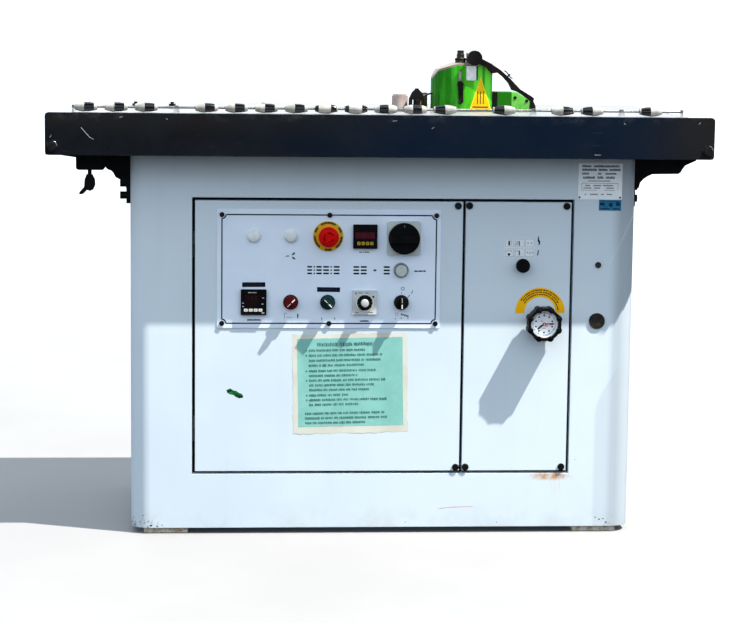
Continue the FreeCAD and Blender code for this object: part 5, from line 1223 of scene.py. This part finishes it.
def dial_details():
    """The dial's scale, its bezel and needles, and the handwheel's lobe crowns."""
    x, z = middle_of("gravity_dial")
    wheel_gap, wheel_web, dial_gap, dial_long, dial_recess = 12, 5, 0.4, 19, 7
    face = PANEL - wheel_gap - wheel_web - dial_gap - dial_long + dial_recess
    ticks, bezel = bmesh.new(), bmesh.new()
    for i in range(60):
        angle = 6 * i
        long, wide = (3.4, 1.5) if i % 5 == 0 else (2.0, 1.0)
        sector(ticks, x, z, 23.6 - long, 23.6, angle - wide, angle + wide, *skin(face, 0.12), 2)
    for i in range(10):
        disc(ticks, *spoke(x, z, 17.2, 90 + 36 * i), 1.8, *skin(face, 0.12), 14)
    piece("dial_scale", ticks, PRINT_BLACK, "gravity_dial")
    wash = bmesh.new()
    bars(wash, *skin(face, 0.08),
         ((-6.2, -3.4, 5.2, 1.9, 24), (5.0, -4.2, 6.0, 2.0, -14), (0.4, -8.4, 7.0, 1.6, 6),
          (-4.6, 5.4, 4.4, 1.5, -30)), x, z)
    piece("dial_red_print", wash, ink_finish("dial_pink_print", (0.62, 0.26, 0.25), (0.56, 0.20, 0.20)),
          "gravity_dial")
    lip = face_of("gravity_dial")
    sector(bezel, x, z, 25.4, 27.2, 0, 360, lip + 0.1, lip - 0.5, 72)
    piece("dial_bezel", bezel, SILVER, "gravity_dial", 40)

    grips = bmesh.new()
    front = face_of("handwheel")
    for i in range(8):
        across, up = spoke(x, z, 29.6, 22.5 + 45 * i)
        lathe(grips, [(4.6, -0.05), (4.2, 0.5), (2.6, 0.9), (0.4, 1.0)], (across, front, up), "-y", 20)
    piece("handwheel_lobe_crowns", grips, MATERIALS["knob_black"], "handwheel", 50)
    nub = bmesh.new()
    lathe(nub, [(2.2, -0.4), (2.2, 1.6), (1.6, 2.4), (0.3, 2.6)], (x - 6.5, front + 8, z + 32.6), "-y", 16)
    piece("handwheel_index_nub", nub, MATERIALS["knob_black"], "handwheel", 50)
    tip = bmesh.new()
    needle_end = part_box("pointer_red")[1].x / MM
    bar(tip, needle_end - 4.2, middle_of("pointer_red")[1], 7.6, 1.9, *skin(face_of("pointer_red"), 0.06))
    piece("pointer_red_tip", tip, PRINT_BLACK, "red_needle")
    blade = bmesh.new()
    turn = 218.0
    bar(blade, *spoke(x, z, 8.8, turn), 14.6, 3.2, *skin(face_of("pointer_black"), 0.10), turn)
    piece("pointer_black_blade", blade, PRINT_BLACK, "black_needle")


dial_details()


# ---------------------------------------------------------------- rollers

def rollers():
    """Two-tone rollers: ribbed cream barrels with a fluted black band that sits differently on each."""
    low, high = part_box("table_rollers_left")
    y, z = (low.y + high.y) / 2 / MM, (low.z + high.z) / 2 / MM
    half, fat, thin = 22.0, 9.6, 5.8

    def radius(t):
        return fat - (fat - thin) * abs(t / half) ** 2.3

    def groove(t):
        return 0.3 * (0.5 - 0.5 * math.cos(math.tau * (t + half) / 2.5))

    # where the black band shows, as parts of the length; every other roller has it in one place
    shown = {8: ((0.0, 0.16), (0.70, 0.95)), 9: ((0.0, 0.18), (0.76, 1.0)), 10: ((0.22, 0.62),),
             11: ((0.38, 0.78),), 12: ((0.06, 0.50),), 14: ((0.06, 0.50),), 16: ((0.50, 0.94),),
             17: ((0.06, 0.50),), 19: ((0.06, 0.48),)}
    groups = (("left", "rollers_left", "table_rollers_left", (0, 1, 2, 4, 5, 6, 7, 8)),
              ("right", "rollers_right", "table_rollers_right", (9, 10, 11, 12, 14, 16, 17, 19)))
    rng = random.Random(31)
    for side, body, node, places in groups:
        cream, black = bmesh.new(), bmesh.new()
        for k in places:
            x = -574 + 58 * k
            phase = rng.uniform(0, math.tau)
            dark = [(-half + a * 2 * half, -half + b * 2 * half) for a, b in shown.get(k, ((0.43, 0.86),))]
            stops = sorted({-half + 0.1, half - 0.1,
                            *(max(-half + 0.1, min(half - 0.1, t)) for pair in dark for t in pair)})
            for start, end in zip(stops, stops[1:]):
                middle = (start + end) / 2
                count = max(6, int((end - start) * 1.6))
                points = [start + (end - start) * i / count for i in range(count + 1)]
                if any(a < middle < b for a, b in dark):
                    edges = points[0], points[-1]
                    flutes = [(radius(t) - (0.15 if t in edges else 0.7), t) for t in points]

                    def wave(angle, along, low=start + 1.0, high=end - 1.0, phase=phase):
                        if low < along < high:
                            return 1.0 - 0.30 * max(0.0, math.cos(7 * angle + phase)) ** 0.5
                        return 1.0
                    lathe(black, [(3.0, start), *flutes, (3.0, end)], (x, y, z), "x", 56, wave=wave)
                else:
                    ribs = [(radius(t) - groove(t), t) for t in points]
                    lathe(cream, [(3.0, start), *ribs, (3.0, end)], (x, y, z), "x", 36)
        piece(f"roller_barrels_{side}", cream, MATERIALS["roller_plastic"], body, 50, (node,))
        piece(f"roller_fluted_bands_{side}", black, ROLLER_BLACK, body, 40, ())


rollers()


# ---------------------------------------------------------------- glue unit

def glue_details():
    """What stands on the glue unit's front: triangle, clip, knob cap, spring, clamp, rings and screws."""
    cover = face_of("glue_cover")
    sign, edge, marks = bmesh.new(), bmesh.new(), bmesh.new()
    base, top, left, right = 846.9, 917.0, 188.2, 234.8
    peak = (left + right) / 2

    def inset(by):
        return [(left + by * 1.5, base + by), (right - by * 1.5, base + by), (peak, top - by * 2.4)]

    plate(edge, inset(0.0), *skin(cover, 0.5))
    plate(sign, inset(1.5), cover - 0.4, cover - 0.7)
    bars(marks, cover - 0.66, cover - 0.82,
         ((-6.0, 874.6, 1.6, 26.0), (0.0, 874.6, 1.6, 26.0), (6.0, 874.6, 1.6, 26.0),
          (0.0, 855.8, 32.0, 2.4)), peak)
    piece("generic_triangle_edge", edge,
          plain("sign_edge_yellow", (0.88, 0.70, 0.02), (0.80, 0.58, 0.015), scale=120.0), BASE)
    piece("generic_triangle", sign, SIGN_YELLOW, BASE)
    piece("generic_triangle_bars", marks, PRINT_BLACK, BASE)

    clip, dark = bmesh.new(), bmesh.new()
    plate(clip, round_box(192.0, 924.5, 20.0, 28.0, 1.4), *skin(cover, 1.0))
    bar(clip, 192.0, 910.6, 16.0, 2.2, *skin(cover, 1.8))
    bar(dark, 203.8, 924.0, 2.4, 27.0, *skin(cover, 1.4))
    pale_metal = plain("clip_pale_metal", (0.80, 0.80, 0.82), (0.66, 0.66, 0.70), scale=160.0,
                       rough=(0.25, 0.35), metal=0.2)
    piece("cover_clip_plate", clip, pale_metal, BASE, 30)
    piece("cover_clip_edge", dark, MATERIALS["handle_black"], BASE)
    strip = bmesh.new()
    bar(strip, 169.5, 919.0, 6.6, 21.0, cover + 7.6, cover + 6.4)
    piece("cover_slot_scale", strip, WHITE_MARK, BASE)

    grip = bmesh.new()
    x, front = 169.5, face_of("glue_lever")
    for z, wide in ((905.5, 8.0), (901.0, 10.0), (896.5, 9.0)):
        plate(grip, round_box(x, z, wide, 2.0, 0.9), front + 0.1, front - 0.6)
    piece("glue_lever_ribs", grip, MATERIALS["handle_black"], "glue_lever", 40)

    cap = bmesh.new()
    knob = face_of("guard_arm")
    pivot = (196.0, 955.0)

    def lobes(angle, along):
        return 1.0 - 0.12 * (0.5 - 0.5 * math.cos(7 * angle))

    lathe(cap, [(14.6, 0.0), (15.0, 1.0), (15.0, 9.0), (13.0, 12.4), (9.0, 13.7), (1.0, 14.0)],
          (pivot[0], knob + 14.0, pivot[1]), "-y", 56, wave=lobes)
    piece("pivot_star_knob", cap, ROLLER_BLACK, "guard_arm", 45)
    # painted highlight: a crescent of bright metal low on the star knob
    painted_glint = bmesh.new()
    sector(painted_glint, pivot[0] + 0.5, pivot[1] - 2.0, 7.0, 9.4, 205, 330, knob + 0.9, knob + 0.05, 14)
    piece("pivot_knob_painted_glint", painted_glint, CHROME, "guard_arm")

    rod = bmesh.new()
    ends = ((259.0, 929.5), (275.0, 914.5))
    steps = 12
    for i in range(steps):
        t = (i + 0.5) / steps
        x = ends[0][0] + (ends[1][0] - ends[0][0]) * t
        z = ends[0][1] + (ends[1][1] - ends[0][1]) * t + 1.2 * math.sin(t * 6.3)
        bar(rod, x, z, 2.6, 1.8, -108.5, -104.5, -43)
    disc(rod, 268.6, 921.6, 2.0, -109.0, -104.0, 16)
    bar(rod, 266.6, 919.4, 3.0, 5.0, -108.0, -105.0, -43)
    piece("guard_spring_rod", rod, MATERIALS["handle_black"], "guard_arm")

    clamp = bmesh.new()
    plate(clamp, round_box(214.0, 945.0, 7.0, 8.0, 1.5), -99.0, -101.2)
    lathe(clamp, [(2.6, 0.0), (2.4, 1.2), (1.2, 1.6)], (214.0, -100.9, 946.0), "-y", 12)
    piece("cover_clamp_block", clamp, CHROME, BASE, 30)
    caps = bmesh.new()
    lathe(caps, [(7.2, -0.4), (7.2, 0.6), (5.6, 1.4), (0.6, 1.5)], (173.5, -63.0, 968.0), "z", 24)
    lathe(caps, [(11.3, -2.4), (11.8, -1.4), (11.8, 0.0), (11.3, 0.6)], (173.5, -63.0, 952.0), "z", 32)
    piece("valve_rings", caps, MATERIALS["handle_black"], BASE, 40)

    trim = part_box("trim_housing")
    face, x0 = trim[0].y / MM, trim[0].x / MM
    strip = bmesh.new()
    bar(strip, x0 + 6.0, 864.4, 12.0, 36.6, *skin(face, 0.6))
    piece("trim_scraper_strip", strip, MATERIALS["handle_black"], BASE)
    holes = bmesh.new()
    for x, z in ((300.0, 871.0), (324.5, 864.5)):
        lathe(holes, [(3.4, -0.1), (3.4, 0.9), (2.4, 1.4), (0.4, 1.4)], (x, face, z), "-y", 20)
    piece("trim_housing_screws", holes, MATERIALS["screw_steel"], BASE, 40)


def bolt_washers():
    """Dark washers behind the four fascia bolts, front and back, with sockets, and bright metal crescents on
    their rims as painted highlights.
    """
    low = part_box("front_fascia")[0]
    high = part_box("table_frame")[1]
    shape, sockets, bright = bmesh.new(), bmesh.new(), bmesh.new()
    for x in (low.x / MM + 13, -low.x / MM - 13):
        for y, way in ((low.y / MM, -1), (high.y / MM, 1)):
            sector(shape, x, 781.0, 8.1, 10.9, 0, 360, y, y + way * 1.3, 40)
            sector(sockets, x, 781.0, 3.4, 5.6, 0, 360, y + way * 5.6, y + way * 5.96, 6)
            # painted highlights: bright crescents on the upper rims of the washers and sockets
            sector(bright, x, 781.0, 9.9, 10.9, 5, 75, y + way * 1.2, y + way * 1.5, 12)
            sector(bright, x, 781.0, 6.7, 7.9, 20, 165, y + way * 5.6, y + way * 5.99, 20)
    piece("fascia_bolt_washers", shape, MATERIALS["bolt_black"], BASE, 40)
    piece("fascia_bolt_sockets", sockets, MATERIALS["screw_steel"], BASE, 20)
    piece("fascia_bolt_painted_glints", bright, CHROME, BASE, 20)


glue_details()
bolt_washers()


# ---------------------------------------------------------------- floor

def stage_floor():
    """A disc of rings, so wide that its end doesn't show."""
    ground, count, inner = bmesh.new(), 96, None
    for r in (2.0, 5.0, 12.0, 40.0):
        ring = []
        for i in range(count):
            angle = math.tau * i / count
            ring.append(ground.verts.new((r * math.cos(angle), r * math.sin(angle), 0)))
        if inner is None:
            ground.faces.new(ring)
        else:
            for i in range(count):
                j = (i + 1) % count
                ground.faces.new((inner[i], inner[j], ring[j], ring[i]))
        inner = ring
    mesh = bpy.data.meshes.new("floor")
    ground.to_mesh(mesh)
    ground.free()
    mesh.materials.append(floor_finish())
    floor = bpy.data.objects.new("floor", mesh)
    bpy.context.scene.collection.objects.link(floor)
    floor.visible_diffuse = floor.visible_glossy = False


stage_floor()
